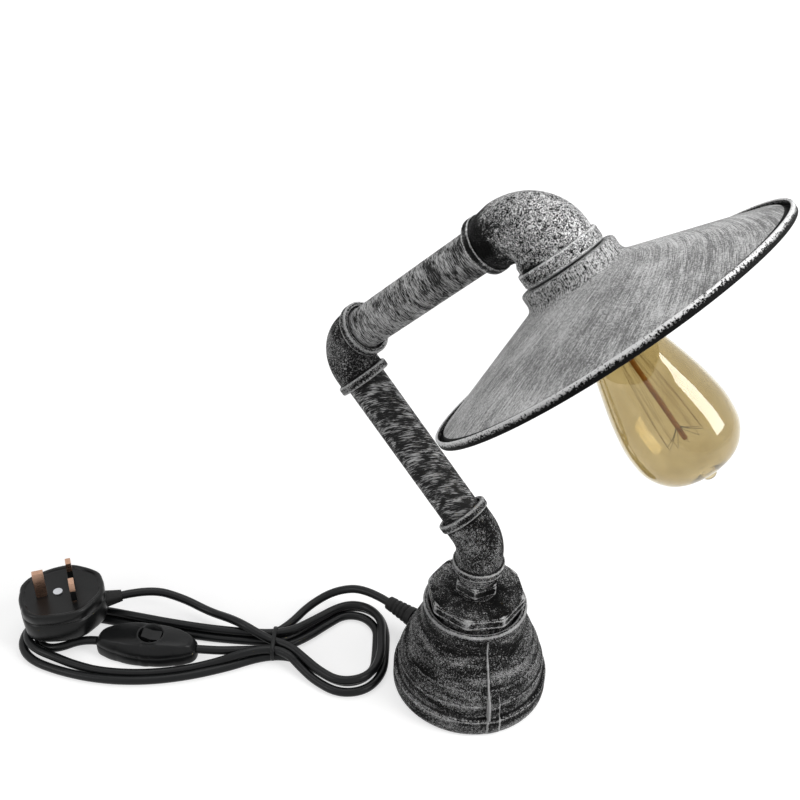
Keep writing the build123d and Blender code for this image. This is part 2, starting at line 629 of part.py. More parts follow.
def build_plug():
    split, top = plug_cover_height, plug_cover_height + plug_base_height
    live_y = plug_live_spacing / 2
    cover = extrude(plug_outline(), split)
    cover = fillet(cover.faces().sort_by(Axis.Z)[0].edges(), 2.5)
    cover -= Pos(0, 0, plug_wall) * extrude(plug_outline(plug_wall), split - plug_wall)
    screw_x = -3.0
    cover += Pos(screw_x, 0, 0) * rod(3.6, plug_wall - 0.1, split)
    cover -= Pos(screw_x, 0, 0) * rod(1.7 + thread_gap, split - 9, split)
    grip_frame = Pos(plug_reach, 0, split / 2) * Rot(0, 90, 0)
    cover -= grip_frame * rod(5.0 + thread_gap, -3, 1)
    base = Pos(0, 0, split) * extrude(plug_outline(), plug_base_height)
    base = chamfer(base.faces().sort_by(Axis.Z)[-1].edges(), 0.8)
    screw_seat = top - 2.4
    base -= Pos(screw_x, 0, 0) * (rod(1.7 + thread_gap, split, top) + rod(3.7, screw_seat, top))
    screw = rod(1.7, split - 8.8, screw_seat) + rod(3.4, screw_seat, top - 0.4)

    def pin(size, necked):
        length_x, length_y, height = size
        neck_x, neck_y = length_x - 2 * sleeve_wall, length_y - 2 * sleeve_wall
        solid = block(neck_x, neck_y, split, top)
        if necked:
            solid += block(neck_x, neck_y, top, top + sleeve_height)
            solid += block(length_x, length_y, top + sleeve_height, top + height)
        else:
            solid += block(length_x, length_y, top, top + height)
        tip = solid.faces().sort_by(Axis.Z)[-1]
        solid = chamfer(tip.edges(), 0.9)
        return solid + block(neck_x + 2, neck_y + 2, split - pin_head_height, split)

    earth = Pos(plug_earth_x, 0, 0) * pin(earth_pin_size, False)
    live_pins = {sign: Pos(plug_live_x, sign * live_y, 0) * pin(live_pin_size, True) for sign in (-1, 1)}
    sleeves = []
    for sign in (-1, 1):
        length_x, length_y, _ = live_pin_size
        sleeve = block(length_x, length_y, top, top + sleeve_height)
        sleeve -= block(length_x - 2 * sleeve_wall, length_y - 2 * sleeve_wall, top, top + sleeve_height)
        sleeves.append(Pos(plug_live_x, sign * live_y, 0) * sleeve)
    for x, y, size in ((plug_earth_x, 0, earth_pin_size), (plug_live_x, live_y, live_pin_size),
                       (plug_live_x, -live_y, live_pin_size)):
        hole = block(size[0] - 2 * sleeve_wall, size[1] - 2 * sleeve_wall, split, top)
        base -= Pos(x, y, 0) * hole
    fuse_x, fuse_y = -21.0, 9.0
    fuse_height = split - fuse_radius - clip_wall
    fuse_frame = Pos(fuse_x, fuse_y, fuse_height) * Rot(0, 90, 0)
    fuse = rod(fuse_radius, 0, fuse_length)
    clips = [tube(fuse_radius + clip_wall, fuse_radius, low, low + clip_width)
             for low in (1.0, fuse_length - 1.0 - clip_width)]
    grip = taper(6.4, flex_radius + 1.2, 0, grip_length) + rod(5.0, -3, 0)
    for name, solid in (
        ("plug_cover", cover), ("plug_base", base), ("plug_screw", Pos(screw_x, 0, 0) * screw),
        ("earth_pin", earth), ("line_pin", live_pins[1]), ("neutral_pin", live_pins[-1]),
        ("pin_sleeves", Compound(children=sleeves)), ("fuse", fuse_frame * fuse),
        ("fuse_clips", fuse_frame * Compound(children=clips)), ("plug_grip", grip_frame * grip),
    ):
        parts[name] = plug_frame * solid


build_base()
build_pipework()
build_holder()
build_bulb()
build_inner_flex()
build_cord()
build_switch()
build_plug()

os.makedirs("parts", exist_ok=True)
for name, solid in parts.items():
    solid.label = name
    export_step(solid, os.path.join("parts", name + ".step"))
print(len(parts), "nodes")
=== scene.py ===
# %% [markdown]
# # An iron pipe table lamp
# The real lamp is made of plumber's fittings: a bell reducer stands on the table, elbows and short pipes
# make the arm, and a spun metal shade hangs from the last elbow. Everything is painted black and then
# brushed with silver. The engineering model already gives the place of every part, so this lesson only
# makes the surfaces that show and gives them their finishes. Lengths are typed in millimetres and become
# metres when a mesh is made.

# %% Load the fixed frame
import math

import bpy
import numpy as np
from mathutils import Matrix, Vector


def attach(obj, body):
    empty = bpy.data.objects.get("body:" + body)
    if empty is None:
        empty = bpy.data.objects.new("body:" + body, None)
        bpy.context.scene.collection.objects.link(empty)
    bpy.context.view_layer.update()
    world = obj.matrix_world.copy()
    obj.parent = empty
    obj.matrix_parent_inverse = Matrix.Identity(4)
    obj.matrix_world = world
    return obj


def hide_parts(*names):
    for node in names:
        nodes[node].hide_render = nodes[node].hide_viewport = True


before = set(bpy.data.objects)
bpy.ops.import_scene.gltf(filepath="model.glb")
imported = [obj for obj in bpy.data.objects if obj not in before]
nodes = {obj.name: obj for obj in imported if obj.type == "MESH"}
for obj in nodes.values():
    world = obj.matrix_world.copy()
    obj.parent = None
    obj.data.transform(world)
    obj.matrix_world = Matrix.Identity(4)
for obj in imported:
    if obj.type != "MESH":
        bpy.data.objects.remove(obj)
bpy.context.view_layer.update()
mm = 0.001

# %% [markdown]
# ## The camera
# A camera needs a place, a direction and a roll. The direction could be set with a constraint that looks at
# an empty, but three unit vectors say it exactly: right, up and backwards are the columns of its rotation.

# %% The camera
forward = np.array([-0.42509, 0.71091, -0.56027])
forward /= np.linalg.norm(forward)
level_right = np.cross(forward, [0, 0, 1])
level_right /= np.linalg.norm(level_right)
level_up = np.cross(level_right, forward)
roll = math.radians(1.876)
right = math.cos(roll) * level_right + math.sin(roll) * level_up
up = np.cross(right, forward)
camera_place = np.array([231.68, -499.29, 614.49]) * mm

camera = bpy.data.objects.new("camera", bpy.data.cameras.new("camera"))
camera.data.lens = 48.35
camera.data.sensor_width = 36.0
camera.data.clip_start = 0.01
turn = np.eye(4)
turn[:3, :3] = np.column_stack([right, up, -forward])
turn[:3, 3] = camera_place
camera.matrix_world = Matrix(turn.tolist())
bpy.context.scene.collection.objects.link(camera)
bpy.context.scene.camera = camera
print("camera at", camera_place.round(3), "lens", camera.data.lens)

# %% [markdown]
# ## Frames
# Each group of parts has its own frame, as on a drawing. A 4 by 4 matrix moves points from it into the
# lamp's frame. Chaining shifts and turns reads like assembling the pipes: up to the elbow, lean back, along
# the arm, bend.


# %% Frames of the pipework, the shade and the flex
def shift(x, y, z):
    """A move along X, Y and Z: the last column of an identity matrix."""
    matrix = np.eye(4)
    matrix[:3, 3] = (x, y, z)
    return matrix


def turned_about(axis, degrees):
    """A rotation about one of the axes X, Y or Z."""
    return np.array(Matrix.Rotation(math.radians(degrees), 4, axis))


def placed(matrix, points):
    """Points (..., 3) carried by a frame: the rotation times the point, plus the shift."""
    return np.asarray(points, float) @ matrix[:3, :3].T + matrix[:3, 3]


def around(radius, angles, height):
    """Points round Z, in a last axis of three: x = r cos a, y = r sin a, z = h."""
    return np.stack(np.broadcast_arrays(radius * np.cos(angles), radius * np.sin(angles), height), axis=-1)


lower_elbow_height = 133.2
lower_arm_length = 161
upper_arm_length = 178
arm_lean = -45
base_frame = np.eye(4)
arm_frame = shift(0, 0, lower_elbow_height) @ turned_about("Y", arm_lean)
mid_frame = arm_frame @ shift(0, 0, lower_arm_length)
upper_frame = mid_frame @ turned_about("Y", 90)
head_frame = upper_frame @ shift(0, 0, upper_arm_length)
shade_frame = head_frame @ turned_about("Y", 90)
hank_frame = turned_about("Z", 210.9)
switch_frame = hank_frame @ shift(240, -11, 0) @ turned_about("Z", -4)
plug_frame = hank_frame @ shift(305, -33, 13.0) @ turned_about("Z", -159)
boot_frame = turned_about("Z", 172) @ shift(0, 0, 23) @ turned_about("Y", 90)
print("shade axis starts at", placed(shade_frame, (0, 0, 0)).round(2))

# %% [markdown]
# ## The mains flex
# The real flex is one round black cable. It leaves the bell at the back, is folded into a tied hank, passes
# through a small rocker switch and ends in a plug. A cable is best drawn as a NURBS curve with a round
# bevel, because a NURBS line bends evenly, as a stiff cable does. The hank's turns are more control points
# of the same curve: each turn lies beside or on the turn before, about a diameter away.

# %% The route from the lamp to the switch
flex_radius = 3.2
lamp_to_switch = [
    (60.70, -48.98, 23), (79.38, -64.05, 23), (103, -68.5, 15.5), (123, -57, 9.4), (136, -40.5, 5.2),
    (149, -29.4, 4.1), (168, -29.2, 3.3), (196, -31.9, 3.3), (228, -37, 3.3), (262, -44.5, 3.3),
    (292, -50.5, 3.3), (315.5, -48.5, 3.3), (333, -35, 3.3), (336.5, -14.5, 3.3), (325, 2, 3.3),
    (300, 12, 3.3), (270.3, 18.3, 3.3), (239.8, 18.9, 3.3), (209, 13.7, 3.3), (178.6, 3.4, 3.3),
    (160, -5.4, 3.6), (145, -9.0, 4.0), (131, -8.4, 3.6), (115.5, 0.6, 3.3), (96, 14.0, 3.3),
    (80.4, 12.6, 3.3), (70.2, 1.5, 3.3), (69.4, -12, 3.3), (69.2, -26, 3.3), (69.5, -40.5, 3.3),
    (80, -52.6, 3.3), (95.6, -53.9, 3.3), (108.4, -42.6, 3.3), (120, -31, 3.4), (132.5, -21.2, 3.9),
    (147, -14.6, 4.2), (160, -12.6, 5.6), (174, -9.0, 8.3), (188, -7.6, 9), (202.1, -8.35, 9),
]
print("lamp to switch:", len(lamp_to_switch), "control points")

# %% The route from the switch to the plug
switch_to_plug = [
    (277.9, -13.65, 9), (289, -14.4, 9), (305.5, -5.9, 7.4), (318.4, -9.2, 5), (326.0, -20.6, 3.6),
    (324.2, -33.8, 3.3), (313.7, -42.4, 3.3), (300, -43.8, 3.3), (280, -40.9, 3.3), (256, -36.2, 3.3),
    (228, -30.6, 3.3), (196, -25.6, 3.3), (168, -23.4, 3.5), (148, -22.0, 4.2), (133, -29.2, 3.7),
    (120.5, -40.5, 3.3), (106, -54.5, 3.3), (87.6, -64.5, 3.3), (69.5, -57.0, 3.3), (62.4, -38.5, 3.3),
    (62.2, -17.7, 3.3), (63.2, 4, 3.3), (74.5, 20.7, 3.3), (94.5, 24.4, 3.3), (112.5, 13.6, 3.4),
    (124.4, 2.6, 5.4), (134, -5.6, 10.2), (147, -10.3, 9.9), (162, -6.9, 10.4), (175, -2.6, 8.4),
    (187, 0.6, 5.2), (211, 7.4, 3.3), (240.2, 12.2, 3.3), (269.7, 11.4, 3.5), (290, 7.2, 5.2),
    (306, 2.6, 8.2), (320.2, -2.8, 9.1), (329.9, -11.9, 9.1), (332.2, -24.5, 9.1), (327.0, -36.8, 9.1),
    (315.5, -44.4, 9.1), (301, -47.0, 9.1), (280, -44.8, 9.1), (256, -39.9, 9.1), (228, -34.2, 9.1),
    (196, -29.0, 9.1), (168, -26.6, 9.2), (147.5, -25.6, 9.8), (132.5, -30.2, 9.6), (119.0, -40.8, 9.1),
    (96.3, -59.6, 9.1), (78.4, -58.6, 9.1), (66.0, -45.2, 9.1), (65.4, -27, 9.1), (65.4, -9, 9.1),
    (69.2, 5.5, 9.1), (79.0, 15.6, 9.1), (95.5, 18.0, 9.1), (110, 8.8, 9.2), (121.6, -2.2, 9.6),
    (133, -12.3, 10.8), (147, -17.9, 10.3), (158, -21.8, 13.2), (168.5, -27.0, 15.9), (180, -34.3, 15.0),
    (199, -46.0, 9.8), (221, -54.8, 15.0), (245.2, -55.9, 22.5), (265.8, -48.0, 22.5),
]
print("switch to plug:", len(switch_to_plug), "control points")

# %% A cable from its control points
def flex(name, route):
    """A NURBS curve of order 3 with these control points and a round bevel. The bevel is a metre times each
    point's radius, because Blender boxes a curve by its points and their radii, whatever the bevel is."""
    curve = bpy.data.curves.new(name, "CURVE")
    curve.dimensions = "3D"
    curve.bevel_depth = 1.0
    curve.bevel_resolution = 5
    curve.resolution_u = 8
    curve.use_fill_caps = True
    spline = curve.splines.new("NURBS")
    points = placed(hank_frame, route) * mm
    spline.points.add(len(points) - 1)
    spline.points.foreach_set("co", np.column_stack([points, np.ones(len(points))]).ravel())
    spline.points.foreach_set("radius", np.full(len(points), flex_radius * mm))
    spline.order_u = 3
    spline.use_endpoint_u = True
    made = bpy.data.objects.new(name, curve)
    bpy.context.scene.collection.objects.link(made)
    line = curve.copy()
    line.bevel_depth = 0
    probe = bpy.data.objects.new(name + "_probe", line)
    mesh = bpy.data.meshes.new_from_object(probe)
    spots = np.empty(len(mesh.vertices) * 3)
    mesh.vertices.foreach_get("co", spots)
    length = np.linalg.norm(np.diff(spots.reshape(-1, 3), axis=0), axis=1).sum()
    bpy.data.objects.remove(probe)
    bpy.data.meshes.remove(mesh)
    print(name, "control points", len(points), "length in metres", round(float(length), 3))
    return made, points, float(length)


# %% Two lengths of flex
flex_to_switch, first_route, first_length = flex("flex_to_switch", lamp_to_switch)
flex_to_plug, second_route, second_length = flex("flex_to_plug", switch_to_plug)
for piece in (flex_to_switch, flex_to_plug):
    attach(piece, "base")
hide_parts("cord_from_lamp", "cord_hank", "cord_to_switch")
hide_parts("cord_from_switch", "cord_to_plug")

# %% [markdown]
# ## Shader maths as Python
# A finish is a small program made of nodes. Clicking dozens of Math nodes together is slow to read, so one
# class stands for a socket and turns `+`, `-`, `*` and `/` into Math nodes. Every other node comes from
# `node()`.


# %% A socket that does arithmetic
class Wire:
    """An output socket; arithmetic on it adds Math nodes."""

    def __init__(self, nodes_of, socket):
        self.nodes_of, self.socket = nodes_of, socket

    def math(self, operation, first, second, clamp=False):
        """One Math node; an operand is a number or another wire."""
        return self.nodes_of.node("ShaderNodeMath", dict(operation=operation, use_clamp=clamp),
                                  {0: first, 1: second})

    def __add__(self, other):
        return self.math("ADD", self, other)

    def __radd__(self, other):
        return self.math("ADD", other, self)

    def __sub__(self, other):
        return self.math("SUBTRACT", self, other)

    def __rsub__(self, other):
        return self.math("SUBTRACT", other, self)

    def __mul__(self, other):
        return self.math("MULTIPLY", self, other)

    def __rmul__(self, other):
        return self.math("MULTIPLY", other, self)

    def __abs__(self):
        return self.math("ABSOLUTE", self, 0.0)

    def held(self):
        """The value kept between 0 and 1."""
        return self.math("ADD", self, 0.0, clamp=True)


print("arithmetic on sockets:", [name for name in vars(Wire) if name.startswith("__")][2:])


# %% A node tree that makes nodes
class Nodes:
    """The node tree of a material or of the world."""

    def __init__(self, tree):
        self.tree = tree
        tree.nodes.clear()

    def node(self, kind, settings=None, inputs=None, output=0):
        """One node: its type, then its settings, then the values or links of its sockets."""
        made = self.tree.nodes.new(kind)
        for key, value in (settings or {}).items():
            setattr(made, key, value)
        for key, value in (inputs or {}).items():
            if isinstance(value, Wire):
                self.tree.links.new(value.socket, made.inputs[key])
            else:
                made.inputs[key].default_value = value
        return Wire(self, made.outputs[output] if made.outputs else None)

    def spot(self, centre=(0, 0, 0), turn=(0, 0, 0), size=(1, 1, 1)):
        """Object coordinates seen from a centre and a turn, divided by the size of the wanted feature."""
        where = self.node("ShaderNodeTexCoord", output="Object")
        return self.node("ShaderNodeMapping", dict(vector_type="TEXTURE"), {
            "Vector": where,
            "Location": [c * mm for c in centre],
            "Rotation": [math.radians(t) for t in turn],
            "Scale": [s * mm for s in size]})

    def noise(self, at, scale=1.0, detail=2.0, rough=0.5, twist=0.0):
        """A cloud of values round 0.5; a scale of 1 gives features as large as the unit of its coordinate."""
        return self.node("ShaderNodeTexNoise", None, {
            "Vector": at, "Scale": scale, "Detail": detail, "Roughness": rough, "Distortion": twist})

    def step(self, value, low, high):
        """0 below low, 1 above high, and a smooth S between them."""
        return self.node("ShaderNodeMapRange", dict(interpolation_type="SMOOTHSTEP"), {
            "Value": value, "From Min": low, "From Max": high})

    def blend(self, share, first, second):
        """A colour between two colours."""
        return self.node("ShaderNodeMix", dict(data_type="RGBA"), {0: share, 6: first, 7: second}, output=2)

    def stored(self, name, output="Fac"):
        """A value that the piece's mesh keeps at its vertices."""
        return self.node("ShaderNodeAttribute", dict(attribute_name=name), output=output)

    def toward(self, centre, direction, reach):
        """How far a point lies from a centre in a direction, as a share of a reach, kept between -1 and 1."""
        where = self.node("ShaderNodeTexCoord", output="Object")
        offset = self.node("ShaderNodeVectorMath", dict(operation="SUBTRACT"), {
            0: where, 1: [c * mm for c in centre]})
        unit = np.array(direction) / np.linalg.norm(direction) / (reach * mm)
        along = self.node("ShaderNodeVectorMath", dict(operation="DOT_PRODUCT"), {
            0: offset, 1: unit.tolist()}, output="Value")
        return (along * 0.5 + 0.5).held() * 2.0 - 1.0

    def bump(self, height, distance, strength=1.0):
        """A normal tilted as if the surface rose by the height times a distance in millimetres."""
        return self.node("ShaderNodeBump", None, {
            "Height": height, "Distance": distance * mm, "Strength": strength})

    def seen_directly(self):
        """1 where the camera looks, straight on or by a shiny surface or glass, and 0 for other light."""
        camera_ray = self.node("ShaderNodeLightPath", output="Is Camera Ray")
        glossy_ray = self.node("ShaderNodeLightPath", output="Is Glossy Ray")
        glass_ray = self.node("ShaderNodeLightPath", output="Is Transmission Ray")
        return (camera_ray + glossy_ray + glass_ray).held()


print("helpers of a node tree:", [name for name in vars(Nodes) if not name.startswith("__")])


# %% A material with one shader
class Finish(Nodes):
    """A material with one Principled shader; what is the same all over goes onto the shader's own sockets."""

    def __init__(self, name, **constants):
        self.material = bpy.data.materials.new(name)
        self.material.use_nodes = True
        super().__init__(self.material.node_tree)
        inputs = {key.replace("_", " "): value for key, value in constants.items()}
        surface = self.node("ShaderNodeBsdfPrincipled", None, inputs)
        self.shader = surface.socket.node
        self.node("ShaderNodeOutputMaterial", None, {"Surface": surface})

    def feed(self, **links):
        """Link what varies over the surface to the shader's sockets, named with _ for a space."""
        for key, wire in links.items():
            self.tree.links.new(wire.socket, self.shader.inputs[key.replace("_", " ")])
        return self


def mottled(name, cloud, first, second, **constants):
    """A finish that drifts between two colours in clouds, whose size is in millimetres."""
    made = Finish(name, **constants)
    share = made.noise(made.spot(size=(cloud, cloud, cloud)), 1.0, 2.0)
    made.feed(Base_Color=made.blend(share, first, second))
    return made.material


def grey(level, warm=1.0):
    """A grey colour; above 1, warm lifts the red and lowers the blue by the same factor."""
    return (level * warm, level, level / warm, 1.0)


print("a grey of 0.5 is", grey(0.5))

# %% [markdown]
# ## The silver-brushed castings
# The real castings are sprayed black and then wiped with silver, so silver sits on the bumps and on the
# edges and the hollows stay black. A painted picture could show that, but it would have to be fitted round
# each elbow. Noise in three dimensions needs no fitting, and one noise can drive both the height and the
# paint. The `edge` value that each mesh stores is 1 on outside corners and below 0 in hollows, and pushes
# the silver the same way.


# %% Cast iron, black in the hollows and silver on the bumps
black_paint = grey(0.004)


def casting(name, silver=0.62, amount=0.0, grain=1.0, wrinkles=0.3, bump=0.8, painted_light_lean=None, patch=(21, 21, 21)):
    """Silver lies where height + broad patches + edge + amount is above a limit, through a steep S curve.
    The height mixes a fine noise with wrinkles, the lines along which a second noise is near its middle.
    Corners are rubbed bright, a haze covers the patches, and a lean, when given, adds silver towards one
    side: painted light that makes that side look lit and the other side shaded."""
    made = Finish(name, Specular_IOR_Level=0.06)
    at = made.spot()
    fine = made.noise(at, 1.0 / (1.4 * grain), 2.0, 0.6, 0.8)
    folds = made.noise(at, 1.0 / (2.9 * grain), 2.0, 0.55, 1.8)
    between_folds = made.step(abs(folds - 0.5), 0.015, 0.075)
    smear = made.noise(at, 1.0 / 0.6, 2.0, 0.6)
    broad = made.noise(made.spot(size=patch), 1.0, 2.0, 0.55, 0.3)
    edge = made.stored("edge")
    height = fine * (1 - wrinkles) + between_folds * wrinkles
    level = height + (broad - 0.5) * 0.5 + edge * 0.16 + amount
    # painted light: more silver towards one side of the piece, so that side looks lit and the other shaded
    if painted_light_lean:
        centre, direction, reach, share = painted_light_lean
        level = level + made.toward(centre, direction, reach) * share
    mask = made.step(level, 0.55, 0.66)
    rubbed = made.step(edge + (fine - 0.5) * 1.4, 0.46, 0.90)
    haze = made.step(broad + (smear - 0.5) * 0.9, 0.42, 0.75)
    tone = (mask * (0.15 + 1.0 * smear) + haze * 0.10 + rubbed * 0.65).held()
    made.feed(Base_Color=made.blend(tone, black_paint, grey(silver)), Metallic=mask * 0.2,
              Roughness=0.68 - 0.22 * mask, Normal=made.bump(height, bump))
    return made.material


cast_fitting = casting("cast_fitting", amount=-0.06, grain=0.75)
cast_bushing = casting("cast_bushing", silver=0.66, amount=-0.11, grain=0.7)
cast_hexagon = casting("cast_hexagon", silver=0.75, amount=-0.20, grain=0.7)
cast_bell = casting("cast_bell", silver=0.58, amount=-0.11, grain=0.7, wrinkles=0.4, patch=(38, 38, 8))
# Painted light on the head elbow: more silver towards its upper right, where the key light falls, and less at
# the left and below.
head_middle = (12, 0, 372)
head_painted_lit_side = (0.75, 0.0, 0.66)
cast_head = casting("cast_head", silver=0.95, amount=-0.14, grain=0.85, wrinkles=0.7, bump=1.0,
                    painted_light_lean=(head_middle, head_painted_lit_side, 28.0, 0.20))
print("castings", [m.name for m in (cast_fitting, cast_bushing, cast_hexagon, cast_bell, cast_head)])

# %% [markdown]
# ## The silver-brushed pipes
# On the pipes the brush went round, so the silver lies in short streaks across the pipe. A noise that is
# stretched round the pipe and squeezed along it gives such streaks. The Mapping node turns the noise to the
# pipe's axis.


# %% Steel pipe with streaks across it
def streaked(name, centre, turn, silver, amount, slant, length, broad_size=15.0, patches=0.5):
    """Silver lies where two stretched noises, plus broad patches and an amount, are above a limit. The turn
    stands the noise on the pipe's axis and the slant tips its streaks; the lengths are in millimetres."""
    made = Finish(name, Specular_IOR_Level=0.06)
    tilt = (slant, turn, 0)
    streak = made.noise(made.spot(centre, tilt, (length, length, 0.55)), 1.0, 3.0, 0.65, 0.6)
    fine = made.noise(made.spot(centre, tilt, (0.6 * length, 0.6 * length, 0.28)), 1.0, 2.0, 0.6, 0.4)
    patch = (broad_size, broad_size, 0.5 * broad_size)
    broad = made.noise(made.spot(centre, tilt, patch), 1.0, 2.0, 0.5, 0.5)
    grain = streak * 0.6 + fine * 0.4
    mask = made.step(grain + (broad - 0.5) * patches + amount, 0.43, 0.58)
    made.feed(Base_Color=made.blend((0.03 + mask * (0.10 + 1.2 * fine)).held(), black_paint, grey(silver)),
              Metallic=mask * 0.25, Roughness=0.6 - 0.16 * mask, Normal=made.bump(grain, 0.5, 0.9))
    return made.material


pipe_lower = streaked("pipe_lower", (0, 0, lower_elbow_height), arm_lean, silver=0.70, amount=-0.06,
                      slant=-38, length=8, broad_size=11, patches=0.45)
pipe_upper = streaked("pipe_upper", mid_frame[:3, 3].round(2), arm_lean + 90, silver=0.74, amount=-0.01,
                      slant=-16, length=5.5, patches=0.35)
print("pipes", pipe_lower.name, pipe_upper.name)

# %% [markdown]
# ## Surfaces from outlines
# Most parts of this lamp were turned, cast round a core or spun, so each is an outline carried round an
# axis. A modifier such as Screw could do that, but worked out with numpy the same outline can also be bent
# round a corner or squeezed to an octagon. Sharp corners would look like plastic, so every corner gets a
# small curve.


# %% Soft corners
def soft_outline(corners, cuts=0.6, wear=1.0, steps=5, closed=True):
    """Round the corners of an outline. Near a corner C the line is (1-t)^2 A + 2t(1-t) C + t^2 B, where A
    and B lie a cut away from C on its two sides. Also returns the edge value: up to 1 on an outside corner,
    down to -0.7 in a hollow, and 0 at a wear's distance from either."""
    corners = np.asarray(corners, float)
    back = np.roll(corners, 1, axis=0) - corners
    on = np.roll(corners, -1, axis=0) - corners
    back_length = np.linalg.norm(back, axis=1)[:, None]
    on_length = np.linalg.norm(on, axis=1)[:, None]
    cut = np.minimum(np.broadcast_to(np.asarray(cuts, float), len(corners))[:, None],
                     0.45 * np.minimum(back_length, on_length))
    t = np.linspace(0, 1, steps)[None, :, None]
    first = (corners + back / back_length * cut)[:, None]
    last = (corners + on / on_length * cut)[:, None]
    bends = (1 - t) ** 2 * first + 2 * t * (1 - t) * corners[:, None] + t**2 * last
    flank_in = corners + back / back_length * np.minimum(cut + wear, 0.49 * back_length)
    flank_out = corners + on / on_length * np.minimum(cut + wear, 0.49 * on_length)
    points = np.concatenate([flank_in[:, None], bends, flank_out[:, None]], axis=1)
    area = np.sum(corners[:, 0] * np.roll(corners[:, 1], -1) - np.roll(corners[:, 0], -1) * corners[:, 1])
    side = np.cross(-back, on) * np.sign(area)
    bend = np.arctan2(side, np.sum(-back * on, axis=1)) / math.radians(70)
    bend = np.clip(bend, -0.7, 1.0)
    along = np.concatenate([[0.0], np.sin(np.linspace(0.2, 0.8, steps) * math.pi), [0.0]])
    edge = bend[:, None] * along[None, :]
    if not closed:
        points[0, :], points[-1, :] = corners[0], corners[-1]
        edge[0], edge[-1] = 0, 0
        points = np.concatenate([corners[:1], points[1:-1].reshape(-1, 2), corners[-1:]])
        edge = np.concatenate([[0.0], edge[1:-1].ravel(), [0.0]])
        return points, edge
    return points.reshape(-1, 2), edge.ravel()


print("rounded square has", len(soft_outline([(0, 0), (1, 0), (1, 1), (0, 1)], 0.1)[0]), "points")


# %% Smooth lines, the smaller of two lengths, and directions
def smooth_line(points, count):
    """A cubic curve through points: between two of them it leaves and arrives in the direction of the chord
    between the neighbours on either side."""
    points = np.asarray(points, float)
    reach = np.concatenate([[0.0], np.cumsum(np.linalg.norm(np.diff(points, axis=0), axis=1))])
    slope = np.gradient(points, reach, axis=0)
    at = np.linspace(0, reach[-1], count)
    which = np.clip(np.searchsorted(reach, at, side="right") - 1, 0, len(points) - 2)
    span = (reach[which + 1] - reach[which])[:, None]
    t = ((at - reach[which])[:, None]) / span
    return ((2 * t**3 - 3 * t**2 + 1) * points[which] + (t**3 - 2 * t**2 + t) * span * slope[which]
            + (3 * t**2 - 2 * t**3) * points[which + 1] + (t**3 - t**2) * span * slope[which + 1])


def soft_smaller(first, second, sharpness=40.0):
    """The smaller of two lengths with the crossing rounded: (a^-k + b^-k)^(-1/k)."""
    return (first**-sharpness + second**-sharpness) ** (-1 / sharpness)


def circle_angles(count):
    """Directions all round, evenly spaced, without the last that equals the first."""
    return np.linspace(0, 2 * math.pi, count, endpoint=False)


print("the smaller of 1.0 and 1.02, softly:", round(soft_smaller(1.0, 1.02), 4))


# %% Faces between the points of a grid
def faces_of(grid, rows_closed, columns_closed):
    """Squares between neighbouring rows and columns of a grid (rows, columns, 3), as numbers of its points. A
    closed direction joins its last line to its first; a row that is all one point is a pole and makes
    triangles."""
    rows, columns = grid.shape[:2]
    index = np.arange(rows * columns).reshape(rows, columns)
    poles = np.ptp(grid, axis=1).max(axis=1) < 1e-9
    index[poles] = index[poles][:, :1]
    below = index if rows_closed else index[:-1]
    above = np.roll(index, -1, axis=0) if rows_closed else index[1:]
    if columns_closed:
        squares = np.stack([below, np.roll(below, -1, 1), np.roll(above, -1, 1), above], axis=-1)
    else:
        squares = np.stack([below[:, :-1], below[:, 1:], above[:, 1:], above[:, :-1]], axis=-1)
    squares = squares.reshape(-1, 4)
    low_pole = squares[:, 0] == squares[:, 1]
    high_pole = squares[:, 2] == squares[:, 3]
    quads = squares[~(low_pole | high_pole)]
    triangles = np.concatenate([squares[low_pole & ~high_pole][:, [0, 2, 3]],
                                squares[high_pole & ~low_pole][:, [0, 1, 2]]])
    return quads, triangles


print("a tube of 3 by 4 points has", len(faces_of(np.arange(36.0).reshape(3, 4, 3), False, True)[0]), "faces")


# %% An object from points and faces
def mesh_object(name, spots, quads, triangles, stored):
    """An object from points and faces. The faces are turned outwards by the sign of the volume they enclose,
    which is a sixth of the sum of a . (b x c); points that no face uses are left out."""
    corners = np.concatenate([quads[:, [0, 1, 2]], quads[:, [0, 2, 3]], triangles])
    a, b, c = (spots[corners[:, i]] for i in range(3))
    if np.einsum("ij,ij->", a, np.cross(b, c)) < 0:
        quads, triangles = quads[:, ::-1], triangles[:, ::-1]
    used, renumbered = np.unique(np.concatenate([quads.ravel(), triangles.ravel()]), return_inverse=True)
    faces = renumbered[:quads.size].reshape(-1, 4).tolist() + renumbered[quads.size:].reshape(-1, 3).tolist()
    mesh = bpy.data.meshes.new(name)
    mesh.from_pydata(spots[used], [], faces)
    mesh.polygons.foreach_set("use_smooth", np.ones(len(mesh.polygons), bool))
    for key, values in stored.items():
        kept = values.reshape(len(spots), -1)[used]
        kind, field = ("FLOAT_VECTOR", "vector") if kept.shape[1] == 3 else ("FLOAT", "value")
        mesh.attributes.new(key, kind, "POINT").data.foreach_set(field, kept.ravel().astype(np.float32))
    mesh.update()
    made = bpy.data.objects.new(name, mesh)
    bpy.context.scene.collection.objects.link(made)
    print(name, "vertices", len(mesh.vertices), "faces", len(mesh.polygons))
    return made


# %% A grid as a piece of the lamp
def skin(name, grid, place=base_frame, edge=None, rows_closed=True, columns_closed=True, extra=None):
    """One grid as a piece, carried by its frame, with its edge value and any extra values at its points."""
    grid = np.asarray(grid, float)
    stored = dict(extra or {})
    if edge is not None:
        stored["edge"] = np.broadcast_to(edge, grid.shape[:2])
    spots = placed(place, grid.reshape(-1, 3)) * mm
    return mesh_object(name, spots, *faces_of(grid, rows_closed, columns_closed), stored)


